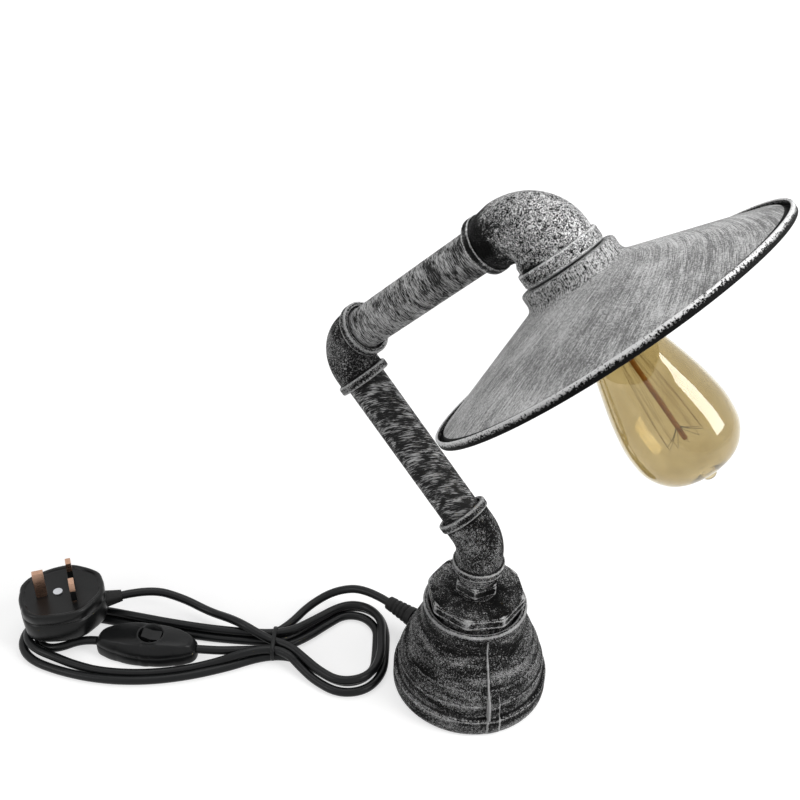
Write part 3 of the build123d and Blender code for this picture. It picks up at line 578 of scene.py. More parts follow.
def dress(piece, body, slot, material, *stands_for):
    """Let a piece ride on a body, give it its material and hide the CAD nodes that it stands for. The slot is
    not used.
    """
    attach(piece, body)
    piece.data.materials.clear()
    piece.data.materials.append(material)
    if stands_for:
        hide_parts(*stands_for)
    return piece


def carried_round(outline, angles):
    """An outline (radius, height) carried round Z: a grid with a row for each of its points."""
    return around(outline[:, 0, None], angles, outline[:, 1, None])


print("a circle's first point", carried_round(np.array([(1.0, 0.0)]), circle_angles(4))[0, 0])

# %% [markdown]
# ## The base bell
# The real base is a bell reducer: a bead at the foot, two shallow casting steps, a waist and a thick rim,
# with a mould rib down two sides that ends in a lug. A Screw modifier could turn the outline, and the rib
# could be a piece of its own, but a casting has no seam there. So the outline is carried round Z in numpy,
# and the rib and the lug are made by a radius that is a little larger over a few degrees.

# %% The bell's outline
pad_thickness = 1.5
bell_wall = 4.6
foot_radius = 55.8
foot_top = 14.5
skirt_radius = 53.0
rim_radius = 36.7
rim_top = 77.0
waist_radius = 36.4
step_depth = 0.9
skirt_slope = (skirt_radius - waist_radius) / (63.0 - foot_top)
low_step = skirt_radius - 0.12 * skirt_slope * (27.0 - foot_top)
high_step = low_step - step_depth - 0.75 * skirt_slope * 11.5
bell_side = np.array([
    (skirt_radius, 15.3), (low_step, 25.8), (low_step - step_depth, 27.0), (high_step, 37.3),
    (high_step - step_depth, 38.5), (41.4, 53.5), (37.3, 61.0)])
bell_corners = np.concatenate([
    [(foot_radius, pad_thickness), (foot_radius, 13.5), (foot_radius - 1.0, foot_top)], bell_side,
    [(waist_radius, 64.5), (rim_radius, rim_top), (33.4, rim_top), (30.4, 72.0), (30.4, 59.0)],
    (bell_side[:-1] - [bell_wall, 2.0])[::-1], [(skirt_radius - bell_wall, pad_thickness)]])
bell_cuts = np.full(len(bell_corners), 1.0)
bell_cuts[1:4] = (1.6, 1.0, 1.2)
bell_cuts[8:13] = (6.0, 3.0, 3.0, 1.3, 1.0)
bell_line, bell_edge = soft_outline(bell_corners, bell_cuts, wear=1.6)
outline_height = bell_line[:, 1]
points_per_corner = 7
outer_corners = 12
is_outer = np.arange(len(bell_line)) < outer_corners * points_per_corner + 3
print("bell outline points", len(bell_line), "of which outside", is_outer.sum())

# %% The mould rib and its lug
rib_azimuths = np.radians([-47.2, 132.8])
rib_half_width, rib_depth = 0.95, 1.1
lug_offset, lug_half_width = 3.7, 4.9
near_a_rib = np.radians(np.linspace(-5, 11, 81))
spread = np.concatenate([circle_angles(220), (rib_azimuths[:, None] + near_a_rib).ravel()])
bell_angles = np.unique(np.round(np.mod(spread, 2 * math.pi), 5))
turn_from_rib = np.angle(np.exp(1j * (bell_angles[None, :] - rib_azimuths[:, None])))
nearest_rib = np.abs(turn_from_rib).argmin(axis=0)
offset = np.degrees(turn_from_rib[nearest_rib, np.arange(len(bell_angles))])
rib = np.exp(-((np.abs(offset) / rib_half_width) ** 4))
rib_reach = rib_depth * np.interp(outline_height, [foot_top, 16, 68, 71], [0, 1, 1, 0])
from_lug = np.abs(offset - lug_offset)
lug = 1 / (1 + np.exp((from_lug - lug_half_width) / 0.18))
lug_top = 36
lug_radius = np.interp(outline_height, [1.0, 2.5, 13.5, 15, 29, 33.5, lug_top],
                       [55.0, 56.3, 56.3, 55.6, 53.8, 52.2, 48.0], right=0.0)
lug_sides = np.exp(-(((from_lug - 4.6) / 0.65) ** 2)) * (outline_height[:, None] < lug_top - 1)
print("directions round the bell", len(bell_angles))

# %% The base bell
bell_radius = bell_line[:, 0, None] + (is_outer * rib_reach)[:, None] * rib
bell_radius = bell_radius + (np.maximum(lug_radius - bell_line[:, 0], 0) * is_outer)[:, None] * lug
bell_grid = around(bell_radius, bell_angles, outline_height[:, None])
rubbed_lines = 1.4 * rib * (rib_reach > 0.1)[:, None] + 1.6 * lug_sides
bell_wear = bell_edge[:, None] * 1.1 + is_outer[:, None] * rubbed_lines
bell = skin("bell", bell_grid, edge=bell_wear)
dress(bell, "base", "cast_iron_silvered", cast_bell, "base_bell")
print("bell radius from", bell_radius.min().round(1), "to", bell_radius.max().round(1))

# %% [markdown]
# ## The octagon bushing and the hexagon nipple
# Both are turned from bar with flats milled round them. A polygon with rounded corners is a sum of powers:
# the closest flat gives the reach, and a high power keeps the others out of it. Where the turned end is
# smaller than the polygon, the smaller of the two radii wins, which gives the curved chamfers of a real
# nut.


# %% A turned outline with flats
def flat_reach(angles, half_flats, sides, corner_turn, power=70.0):
    """Distance to a regular polygon's side: half the flats over a power mean of the cosines to its normals,
    (sum of cos^p)^(1/p), which is nearly the largest cosine and rounds the corners."""
    normals = np.radians(corner_turn + 180 / sides) + 2 * math.pi * np.arange(sides) / sides
    cosines = np.maximum(np.cos(angles[:, None] - normals[None, :]), 0)
    return half_flats / (cosines**power).sum(axis=1) ** (1 / power)


def milled(name, corners, cuts, half_flats, sides, corner_turn, count):
    """A turned piece with flats: its radius is the smaller of the outline's and the polygon's."""
    line, edge = soft_outline(corners, cuts, wear=0.9)
    angles = circle_angles(count)
    reach = flat_reach(angles, half_flats, sides, corner_turn)
    radius = soft_smaller(line[:, 0, None] + 0 * angles, reach[None, :], 90.0)
    corner = ((reach - reach.min()) / np.ptp(reach)) ** 4
    wear = edge[:, None] + 0.8 * corner[None, :] * (line[:, 0, None] > half_flats)
    return skin(name, around(radius, angles, line[:, 1, None]), edge=wear)


# %% The octagon bushing
half_octagon = 32.05
octagon_corner = half_octagon / math.cos(math.pi / 8)
bushing = milled("bushing", [
    (30.0, 62.0), (30.0, 80.0), (octagon_corner - 1.6, 80.0), (octagon_corner + 0.3, 81.4),
    (octagon_corner + 0.3, 87.2), (octagon_corner - 1.8, 88.7), (13.2, 88.7), (13.2, 62.0)],
    (1, 0.5, 0.5, 0.8, 0.8, 0.6, 0.5, 0.5), half_octagon, 8, 17.7, 320)
dress(bushing, "base", "cast_iron_silvered", cast_bushing, "base_bushing")

# %% The hexagon and the thread of the nipple
half_hexagon = 13.7
hexagon_corner = half_hexagon / math.cos(math.pi / 6)
nipple_hex = milled("nipple_hex", [
    (12.3, 91.0), (hexagon_corner - 1.2, 91.0), (hexagon_corner + 0.3, 92.6), (hexagon_corner + 0.3, 98.4),
    (hexagon_corner - 1.2, 100.0), (12.3, 100.0)],
    (0.3, 0.5, 0.8, 0.8, 0.5, 0.3), half_hexagon, 6, -66.0, 192)
dress(nipple_hex, "base", "cast_iron_silvered", cast_hexagon)

thread_heights = np.linspace(76.0, 121.0, 181)
thread_angles = circle_angles(96)
thread_pitch = 1.81
turns = thread_heights[:, None] / thread_pitch + thread_angles / (2 * math.pi)
thread_wave = 0.5 - 0.5 * np.cos(2 * math.pi * turns)
thread_radius = 12.95 - 0.75 * thread_wave
outer = around(thread_radius, thread_angles, thread_heights[:, None])
inner = carried_round(np.array([(8.0, 121.0), (8.0, 76.0)]), thread_angles)
nipple_thread = skin("nipple_thread", np.concatenate([outer, inner]),
                     edge=np.concatenate([0.5 - thread_wave, np.zeros(inner.shape[:2])]))
dress(nipple_thread, "base", "cast_iron_silvered", cast_fitting, "hex_nipple")

# %% [markdown]
# ## The elbows
# A cast elbow is a thick tube with a bead round each mouth. Its outline is drawn straight, as (distance
# along the axis, radius), and then carried along a bent axis: a straight leg, an arc and another leg. Rings
# stand square to that axis. On the inside of a tight bend a ring must not reach past the arc's centre, so
# it is held back there.


# %% A tube along a bent axis
def bent(name, line, edge, turn_degrees, bend, place, hold=0.0, count=128):
    """A ring point is centre(s) + r (cos a * outward + sin a * Y). Along the arc the axis has turned by
    s / bend; before and after it the centre runs straight on. A hold squeezes what reaches past that share of
    the bend towards the arc's centre, so that neighbouring rings don't cross."""
    turn = math.radians(abs(turn_degrees))
    side = math.copysign(1.0, turn_degrees)
    half = bend * turn / 2
    s, r = line[:, 0], line[:, 1]
    kept = np.clip(s, -half, half)
    angle = (kept + half) / bend
    over = s - kept
    leg = bend * math.tan(turn / 2)
    centre_x = bend * (1 - np.cos(angle)) + over * np.sin(angle)
    centre_z = -leg + bend * np.sin(angle) + over * np.cos(angle)
    a = circle_angles(count)
    outward = r[:, None] * np.cos(a)
    if hold:
        limit = -hold * bend + np.maximum(np.abs(s) - half, 0)[:, None] * -4.0
        outward = np.where(outward < limit, limit + (outward - limit) * 0.06, outward)
    x = centre_x[:, None] - np.cos(angle)[:, None] * outward
    z = centre_z[:, None] + np.sin(angle)[:, None] * outward
    grid = np.stack([side * x, r[:, None] * np.sin(a), z], axis=-1)
    return skin(name, grid, place, edge=np.broadcast_to(edge[:, None], grid.shape[:2]))


# %% The outline of an elbow
bead_width = 5.5
bead_radius = 18.0
mouth_radius = 15.2
mouth_depth = 2.5
elbow_bore = 11.2


def elbow_outline(reach, body_radius):
    """Two beads and counterbored mouths; reach is from the arc's middle to a mouth, along the axis."""
    inner = reach - bead_width
    seat = reach - mouth_depth
    corners = [(-reach, bead_radius), (-inner, bead_radius), (-inner + 0.5, body_radius),
               (inner - 0.5, body_radius), (inner, bead_radius), (reach, bead_radius),
               (reach, mouth_radius), (seat, mouth_radius), (seat, elbow_bore),
               (-seat, elbow_bore), (-seat, mouth_radius), (-reach, mouth_radius)]
    line, edge = soft_outline(corners, (1.3, 1.2, 1.4, 1.4, 1.2, 1.3, 0.6, 0.4, 0.4, 0.4, 0.4, 0.6), wear=1.2)
    return refined(line, edge, 1.3)


def refined(line, edge, longest):
    """Add points on the long runs of a closed outline, so that it can follow a bend."""
    after = np.roll(line, -1, axis=0)
    counts = np.maximum(np.ceil(np.linalg.norm(after - line, axis=1) / longest), 1).astype(int)
    start = np.repeat(np.arange(len(line)), counts)
    first = np.repeat(np.concatenate([[0], np.cumsum(counts)[:-1]]), counts)
    share = ((np.arange(len(start)) - first) / np.repeat(counts, counts))
    edge_after = np.roll(edge, -1)
    return (line[start] + (after - line)[start] * share[:, None],
            edge[start] + (edge_after - edge)[start] * share)


def straight_reach(face, bend, turn_degrees):
    """From the middle of the arc to the mouth, along the axis: half the arc, plus the leg that is left of the
    face's distance when the arc's tangent, bend * tan(turn / 2), is taken off."""
    turn = math.radians(abs(turn_degrees))
    return bend * turn / 2 + face - bend * math.tan(turn / 2)


print("along its axis a 90 degree elbow reaches", round(straight_reach(29.0, 19.0, 90), 2), "either way")

# %% The two arm elbows
reach_45 = straight_reach(23.5, 24.0, 45)
reach_90 = straight_reach(29.0, 19.0, 90)
lower_elbow = bent("lower_elbow", *elbow_outline(reach_45, 16.2), arm_lean, 24.0,
                   shift(0, 0, lower_elbow_height))
dress(lower_elbow, "lower_arm", "cast_iron_silvered", cast_fitting, "elbow_45")
middle_elbow = bent("middle_elbow", *elbow_outline(reach_90, 16.0), 90, 19.0, mid_frame)
dress(middle_elbow, "upper_arm", "cast_iron_silvered", cast_fitting, "elbow_90")

# %% [markdown]
# ## The head elbow
# The last elbow swells from the pipe's size to the lampholder's. It could be two elbows joined by a cone,
# but the real one swells evenly round its bend, so its outline has one body run that rises in an S curve
# along the arc.

# %% The head elbow
head_bend = 20.0
half_head = head_bend * math.pi / 4
head_start = -half_head - 18.0
head_end = half_head + 12.6
large_bead = 25.1
large_body = 23.2
large_mouth = 20.5
swell = np.linspace(0, 1, 12)
body_share = 0.25 + 0.75 * swell**2 * (3 - 2 * swell)
body_run = np.column_stack([-half_head + 2 * half_head * swell, 16.8 + (large_body - 16.8) * body_share])
head_corners = np.concatenate([
    [(head_start, bead_radius), (head_start + bead_width, bead_radius), (head_start + 6.0, 16.9)], body_run,
    [(head_end - 9.0, large_body), (head_end - 8.6, large_bead), (head_end, large_bead),
     (head_end, large_mouth), (head_end - 6, large_mouth), (head_end - 6, 17.5), (-half_head, 12.0),
     (head_start + mouth_depth, 12.0), (head_start + mouth_depth, mouth_radius), (head_start, mouth_radius)]])
head_cuts = np.full(len(head_corners), 1.0)
head_cuts[0:3] = (1.3, 1.2, 1.4)
head_cuts[3:15] = 1.3
head_cuts[15:18] = (0.8, 1.4, 1.5)
head_line, head_wear = refined(*soft_outline(head_corners, head_cuts, wear=1.2), 1.2)
head_elbow = bent("head_fitting", head_line, head_wear, 90, head_bend, head_frame, hold=0.93, count=160)
dress(head_elbow, "head", "cast_iron_silvered", cast_head, "head_elbow")

# %% [markdown]
# ## The pipes
# Each pipe is plain steel tube that disappears into the mouths of its fittings. A cylinder primitive would
# do for the outside, but these end in turned-down threads and have a bore, so each is an outline carried
# round the arm's axis. All its character comes from the streaked finish.

# %% The two pipes
pipe_radius = 13.45
pipe_bore = 10.85
thread_length = 10.0
turned_down = 13.0
for name, place, start, end, body, material, node in (
    ("lower_tube", arm_frame, 21.0, 134.2, "lower_arm", pipe_lower, "lower_pipe"),
    ("upper_tube", upper_frame, 26.5, 142.2, "upper_arm", pipe_upper, "upper_pipe"),
):
    low, high = start - thread_length, end + thread_length
    line, _ = refined(*soft_outline([
        (turned_down, low), (turned_down, start), (pipe_radius, start), (pipe_radius, end),
        (turned_down, end), (turned_down, high), (pipe_bore, high), (pipe_bore, low)], 0.3, wear=0.6), 12.0)
    pipe = skin(name, carried_round(line, circle_angles(144)), place)
    dress(pipe, body, "steel_pipe_silvered", material, node)

# %% [markdown]
# ## The shade
# The shade is one spun disc of sheet steel: a collar at the holder, a shallow cone, and a rim that turns
# down into a groove and up into a lip. Solidify could give a sheet its thickness, but here the middle line
# is moved by half the sheet to either side, so that the lip can be rounder than the sheet is thick. It is
# black all over and brushed with silver on top, so the mesh stores how much silver reaches each ring, and a
# swirl that follows the brush: an angle that falls behind with the logarithm of the radius, more on one
# side than on the other.

# %% The outline of the shade
collar_radius = 29.4
groove_radius = 108.4
lip_radius = 113.4


def shade_middle():
    """The middle line of the sheet: hole, collar, cone, groove and lip with soft corners, no point twice."""
    corners = [(20.0, 34.2), (collar_radius, 34.2), (collar_radius, 44.4), (groove_radius, 71.89),
               (110.6, 75.6), (lip_radius, 75.6), (lip_radius, 71.4)]
    line, _ = soft_outline(corners, (0, 2.2, 6.5, 0.8, 0.8, 1.0, 0), wear=0.3, steps=9, closed=False)
    keep = np.concatenate([[True], np.linalg.norm(np.diff(line, axis=0), axis=1) > 1e-4])
    return line[keep]


middle = shade_middle()
gaps = np.linalg.norm(np.diff(middle, axis=0), axis=1)
splits = np.maximum(np.ceil(gaps / 3.0), 1).astype(int)
at = np.concatenate([np.arange(n) / n + i for i, n in enumerate(splits)] + [[len(gaps)]])
middle = np.column_stack([np.interp(at, np.arange(len(middle)), middle[:, i]) for i in (0, 1)])
tangent = np.gradient(middle, axis=0)
tangent /= np.linalg.norm(tangent, axis=1)[:, None]
normal = np.column_stack([tangent[:, 1], -tangent[:, 0]])
half_sheet = 0.5
top_side = middle + half_sheet * normal
under_side = middle - half_sheet * normal
lip_turn = np.linspace(0.88, 0.12, 9) * math.pi
lip = np.array([113.0, 71.5]) + 0.9 * np.column_stack([np.cos(lip_turn), -np.sin(lip_turn)])
shade_line = np.concatenate([top_side, lip, under_side[::-1]])
print("shade outline points", len(shade_line))

# %% The shade's surface, its silver and its swirl
ring_radius = shade_line[:, 0]
is_top = np.arange(len(shade_line)) < len(top_side)
silver_share = np.where(is_top & (ring_radius < groove_radius), 1.0, 0.0)
worn_share = np.where(ring_radius > 111.0, np.clip((73.6 - shade_line[:, 1]) / 2.2, 0, 1), 0.0)
collar_share = np.clip((33.5 - ring_radius) / 3.5, 0, 1) * is_top
shade_angles = circle_angles(288)
brush_pitch = 1.3 - 1.0 * np.cos(shade_angles)
swirl_angle = shade_angles[None, :] - brush_pitch * np.log(ring_radius / collar_radius)[:, None]
strokes_round, stroke_length = 105.0, 6.5
swirl = around(strokes_round, swirl_angle, (ring_radius / stroke_length)[:, None])
per_ring = {"silvered": silver_share, "worn": worn_share, "collar": collar_share}
shade = skin("shade_spun", carried_round(shade_line, shade_angles), shade_frame, extra={
    **{key: np.broadcast_to(share[:, None], swirl_angle.shape) for key, share in per_ring.items()},
    "swirl": swirl})
print("shade rings", len(shade_line), "outer radius", ring_radius.max().round(2))

# %% [markdown]
# ## The shade's finish
# The brush left fine arcs that sweep away from the collar, with more silver on the collar and a ragged worn
# line on the lip. The stored swirl is the noise's coordinate, so the streaks follow the spiral without any
# seam.

# %% Brushed silver over black sheet
brushed = Finish("brushed_shade", Specular_IOR_Level=0.06)
along_brush = brushed.stored("swirl", "Vector")
arcs = brushed.noise(along_brush, 1.0, 3.0, 0.65, 0.15)
coarse = brushed.noise(along_brush, 0.22, 2.0, 0.5, 0.2)
speck = brushed.noise(brushed.spot(), 1.0 / 1.1, 2.0, 0.6, 0.3)
broad = brushed.noise(brushed.spot(), 1.0 / 34.0, 2.0, 0.5, 0.4)
silvered, worn, collar = (brushed.stored(key) for key in per_ring)
strokes = brushed.step(arcs * 0.75 + coarse * 0.25 + (broad - 0.5) * 0.30 + (speck - 0.5) * 0.55, 0.36, 0.66)
collar_tone = brushed.step(arcs * 0.55 + speck * 0.45, 0.42, 0.58) * 0.85
top_tone = (0.24 + 0.70 * strokes) * (1 - collar) + collar_tone * collar
ragged = brushed.step(speck * 0.8 + broad * 0.2 + worn * 0.22, 0.56, 0.70)
tone = (top_tone * silvered + ragged * worn * 1.2).held()
brushed.feed(Base_Color=brushed.blend(tone, black_paint, grey(0.74)), Metallic=tone * 0.2,
             Roughness=0.62 - 0.16 * tone,
             Normal=brushed.bump(arcs * silvered * 0.7 + speck * 0.5, 0.22, 0.9))
dress(shade, "head", "sheet_steel_silvered", brushed.material, "shade")
print("finish", brushed.material.name)

# %% [markdown]
# ## The filament bulb
# The bulb is a blown amber envelope with a small nub where it was sealed, a clear stem, and a fine filament
# wound up and down between two crowns of hooks. The envelope is modelled with both its surfaces, as real
# glass has, so that it bends light only a little; one sheet that starts and ends on the axis gives both.

# %% Amber envelope and stem
glass_wall = 0.9
pinch_height = 172.8
glass_outside = smooth_line([
    (12.5, 62.7), (13.3, 65.2), (15.0, 68.6), (18.2, 81.5), (24.4, 103.0), (29.7, 124.0), (32.0, 145.0),
    (29.9, 158.0), (22.0, 168.6), (12.0, 172.9), (5.6, 173.8)], 90)
glass_inside = (glass_outside - [glass_wall, 0.0])[::-1]
glass_inside[:, 1] = np.minimum(glass_inside[:, 1], pinch_height)
nub = [(4.6, 174.3), (4.3, 175.6), (3.9, 176.9), (2.8, 177.9), (1.4, 178.4), (0.0, 178.5)]
glass_line = np.concatenate([
    [(0.0, pinch_height + 0.1), (4.0, pinch_height + 0.1)], glass_inside, [(11.6, 58.5), (12.5, 58.5)],
    glass_outside, nub])
envelope = skin("envelope", carried_round(glass_line, circle_angles(128)), shade_frame, rows_closed=False)
amber = Finish("amber_glass", Transmission_Weight=1.0, IOR=1.5, Roughness=0.0)
smoke = amber.noise(amber.spot(), 1.0 / 24.0, 2.0, 0.5, 0.6)
amber.feed(Base_Color=amber.blend(smoke, (0.50, 0.41, 0.22, 1), (0.72, 0.64, 0.44, 1)))
dress(envelope, "bulb", "amber_glass", amber.material, "bulb_glass")

stem_line, _ = soft_outline([(0.0, 58.6), (11.3, 58.6), (11.3, 59.8), (4.2, 64.0), (3.2, 84.0), (1.5, 88.0),
                             (1.5, 151.4), (0.0, 152.0)], (0, 0.4, 0.4, 2, 2, 2, 0.6, 0), closed=False)
stem = skin("stem", carried_round(stem_line, circle_angles(48)), shade_frame, rows_closed=False)
stem_glass = mottled("stem_glass", 3, (0.50, 0.22, 0.06, 1), (0.70, 0.38, 0.14, 1), Transmission_Weight=0.55,
                     IOR=1.3, Roughness=0.08)
dress(stem, "bulb", "clear_stem", stem_glass, "bulb_stem")


# %% Thin bent wires
def wires(starts, ends, radius, bow=0.0, sides=6, rings=9):
    """Grids (wire, ring, side) of thin bent wires, all at once: along each one the middle is
    p = start + t (end - start) + bow * 4t(1-t) outwards, with a ring of points square to it at every t."""
    t = np.linspace(0, 1, rings)[None, :, None]
    outward = (starts + ends) / 2 * [1, 1, 0]
    outward /= np.maximum(np.linalg.norm(outward, axis=1), 1e-6)[:, None]
    line = starts[:, None] + t * (ends - starts)[:, None] + bow * 4 * t * (1 - t) * outward[:, None]
    along = np.gradient(line, axis=1)
    along /= np.linalg.norm(along, axis=2)[..., None]
    across = np.cross(along, np.array([0.0, 0.3, 1.0]))
    across /= np.linalg.norm(across, axis=2)[..., None]
    other = np.cross(along, across)
    a = circle_angles(sides)[None, None, :, None]
    ring = line[:, :, None] + radius * (np.cos(a) * across[:, :, None] + np.sin(a) * other[:, :, None])
    first_pole = line[:, :1, None] + 0 * ring[:, :1]
    last_pole = line[:, -1:, None] + 0 * ring[:, -1:]
    return np.concatenate([first_pole, ring, last_pole], axis=1)


def bunch(name, grids):
    """Many grids of one size as one piece: the faces of the first, counted on by a grid's points for each."""
    quads, triangles = faces_of(grids[0], rows_closed=False, columns_closed=True)
    counted_on = np.arange(len(grids))[:, None, None] * grids[0][..., 0].size
    spots = placed(shade_frame, grids.reshape(-1, 3)) * mm
    quads = (quads + counted_on).reshape(-1, 4)
    triangles = (triangles + counted_on).reshape(-1, 3)
    return mesh_object(name, spots, quads, triangles, {})


print("one wire's grid:", wires(around(1.0, np.zeros(1), 0.0), around(2.0, np.zeros(1), 9.0), 0.1).shape)

# %% Filament and its hooks
low_turns = 2 * math.pi * np.arange(10) / 10
high_turns = low_turns + math.pi / 10
low_hook, high_hook = around(6.5, low_turns, 97.0), around(11.5, high_turns, 151.0)
low_root, high_root = around(1.4, low_turns, 93.0), around(1.4, high_turns, 143.5)
filament = bunch("filament_wire", np.concatenate([
    wires(low_hook, high_hook, 0.06, bow=0.9),
    wires(np.roll(low_hook, -1, axis=0), high_hook, 0.06, bow=0.9)]))
hooks = bunch("filament_hooks", np.concatenate([
    wires(low_root, low_hook, 0.1, bow=-0.6), wires(high_root, high_hook, 0.13, bow=-1.0)]))
print("strands", len(filament.data.vertices), "hooks", len(hooks.data.vertices))
wire_brown = mottled("filament_brown", 2, (0.16, 0.075, 0.02, 1), (0.28, 0.14, 0.05, 1), Metallic=0.4,
                     Roughness=0.5)
wire_dark = mottled("hook_dark", 2, (0.03, 0.024, 0.018, 1), (0.09, 0.07, 0.05, 1), Metallic=0.6,
                    Roughness=0.4)
dress(filament, "bulb", "filament_wire", wire_brown, "filament")
dress(hooks, "bulb", "support_wire", wire_dark, "filament_supports")


# %% [markdown]
# ## Plastics, rubber and small metal
# The flex, plug, switch and holder are black plastic, each with its own gloss and skin, and the small parts
# are bare metal. One flat colour would look like a drawing, so two helpers make both kinds: a weak noise
# moves the colour and the roughness, and a fine bump gives the skin or the scratches.


# %% Black plastics and plain metals
def plastic(name, level, rough, vary, grain, bump, tint=1.0, gloss=0.22):
    """A colour and a roughness that drift with a broad cloud, and a fine skin of grains, in millimetres."""
    made = Finish(name, Specular_IOR_Level=gloss)
    skin_noise = made.noise(made.spot(), 1.0 / grain, 2.0, 0.55)
    cloud = made.noise(made.spot(), 1.0 / 14.0, 3.0, 0.55, 0.5)
    made.feed(Base_Color=made.blend(cloud, grey(level * 0.6, tint), grey(level * 1.6, tint)),
              Roughness=rough + (cloud - 0.5) * vary + (skin_noise - 0.5) * vary * 0.5,
              Normal=made.bump(skin_noise, bump))
    return made.material


def metal(name, low, high, rough, grain=(6, 6, 0.35), bump=0.02):
    """Bare metal between two colours, with scratches: a noise that is long on two axes and short on one."""
    made = Finish(name, Metallic=1.0)
    scratch = made.noise(made.spot(size=grain), 1.0, 3.0, 0.6)
    cloud = made.noise(made.spot(), 1.0 / 5.0, 2.0, 0.5)
    made.feed(Base_Color=made.blend((scratch * 0.6 + cloud * 0.4).held(), low, high),
              Roughness=rough + (scratch - 0.5) * 0.25, Normal=made.bump(scratch, bump))
    return made.material


print("a plastic's darkest and lightest grey at level 0.006:", grey(0.006 * 0.6)[0], grey(0.006 * 1.6)[0])

# %% The finishes of the flex, the plug, the switch and the holder
flex_black = plastic("flex_black", 0.006, 0.34, 0.10, 0.8, 0.02, tint=0.93)
plug_black = plastic("plug_black", 0.006, 0.30, 0.12, 0.35, 0.015, tint=0.97)
switch_black = plastic("switch_black", 0.007, 0.36, 0.10, 0.4, 0.03, tint=0.95)
rubber_black = plastic("rubber_black", 0.008, 0.55, 0.12, 0.7, 0.05)
holder_black = plastic("holder_black", 0.007, 0.36, 0.10, 0.5, 0.02)
copper = metal("copper_pins", (0.36, 0.20, 0.13, 1), (0.62, 0.40, 0.29, 1), 0.30)
brass = metal("brass_parts", (0.55, 0.38, 0.14, 1), (0.80, 0.60, 0.28, 1), 0.30)
zinc = metal("zinc_parts", (0.42, 0.43, 0.45, 1), (0.66, 0.67, 0.70, 1), 0.34)
solder = metal("solder_parts", (0.45, 0.45, 0.46, 1), (0.62, 0.62, 0.64, 1), 0.45)
ceramic = plastic("ceramic_parts", 0.60, 0.35, 0.10, 0.6, 0.02, tint=1.03, gloss=0.5)
flex_to_switch.data.materials.append(flex_black)
flex_to_plug.data.materials.append(flex_black)
print("finishes so far", len(bpy.data.materials))

# %% The carried-over nodes get their finishes
by_name = {
    "base_pad": rubber_black, "cord_boot": rubber_black, "cord_tie": flex_black, "earth_screw": zinc,
    "earth_lug": brass, "earth_washer": zinc, "switch_base": switch_black, "switch_cover": switch_black,
    "switch_rocker": switch_black, "switch_screws": zinc, "switch_contacts": brass, "plug_base": plug_black,
    "plug_cover": plug_black, "plug_screw": zinc,
    "earth_pin": copper, "line_pin": copper, "neutral_pin": copper,
    "pin_sleeves": plug_black, "fuse": ceramic, "fuse_clips": brass, "plug_grip": rubber_black,
    "holder_disc": zinc, "holder_locknut": zinc, "holder_entry_nipple": zinc, "holder_cap": holder_black,
    "holder_skirt": holder_black, "holder_core": ceramic, "holder_shell": brass, "holder_contact": brass,
    "holder_terminals": brass, "shade_ring": holder_black, "bulb_cap": brass, "bulb_insulator": holder_black,
    "bulb_contact": solder,
}
for name, node in nodes.items():
    material = by_name.get(name, flex_black if name.startswith(("flex", "cord")) else cast_fitting)
    node.data.materials.clear()
    node.data.materials.append(material)
print("dressed", len(nodes), "nodes")

# %% [markdown]
# ## The plug and the switch
# Both are moulded shells that meet at a parting line. Their outlines are rounded polygons that every ray
# from the middle crosses once, so a ring of the shell is just a radius for each direction. Rings that
# shrink, step and rise give the rounded foot, the groove between the halves and the sunk face; the last
# ring is a point.


# %% A moulded shell from rings
def star_reach(corners, cut, angles):
    """How far a rounded outline lies from the middle in each direction."""
    line, _ = soft_outline(corners, cut, wear=0.3, steps=13)
    turn = np.mod(np.arctan2(line[:, 1], line[:, 0]), 2 * math.pi)
    order = np.argsort(turn)
    return np.interp(angles, turn[order], np.hypot(line[:, 0], line[:, 1])[order], period=2 * math.pi)


def moulded(name, levels, angles, place, droop=None):
    """Rings (radius for each direction, height); droop lowers a height by where its point lies."""
    radius = np.array([np.broadcast_to(reach, angles.shape) for reach, _ in levels], float)
    height = np.array([np.full(angles.shape, rise) for _, rise in levels], float)
    if droop:
        height = droop(radius * np.cos(angles), height)
    return skin(name, around(radius, angles, height), place, rows_closed=False)


shell_angles = circle_angles(256)
plug_corners = [(-30, 14), (-23.5, 22), (-6, 28), (10, 28), (22, 19.5), (30, 11)]
plug_corners = plug_corners + [(x, -y) for x, y in reversed(plug_corners)]
edge_of = star_reach(plug_corners, 7.0, shell_angles)
plug_shell = moulded("plug_shell", [
    (0, 0), (edge_of - 6, 0), (edge_of - 3, 0.4), (edge_of - 1.2, 1.8), (edge_of - 0.3, 4.4), (edge_of, 9),
    (edge_of, 17.2), (edge_of - 0.5, 18.0), (edge_of - 1.4, 18.3), (edge_of - 1.4, 18.9), (0, 18.9)],
    shell_angles, plug_frame)
plug_face = moulded("plug_face", [
    (0, 19), (edge_of - 1.4, 19), (edge_of - 1.4, 19.4), (edge_of - 0.5, 19.8), (edge_of, 20.6),
    (edge_of, 25.4), (edge_of - 0.4, 26.8), (edge_of - 1.3, 27.8), (edge_of - 2.4, 28.0),
    (edge_of - 3.4, 27.9), (edge_of - 3.9, 27.2), (edge_of - 4.2, 26.7), (edge_of - 5, 26.6), (0, 26.6)],
    shell_angles, plug_frame)
dress(plug_shell, "base", "black_plastic", plug_black, "plug_cover")
dress(plug_face, "base", "black_plastic", plug_black, "plug_base")

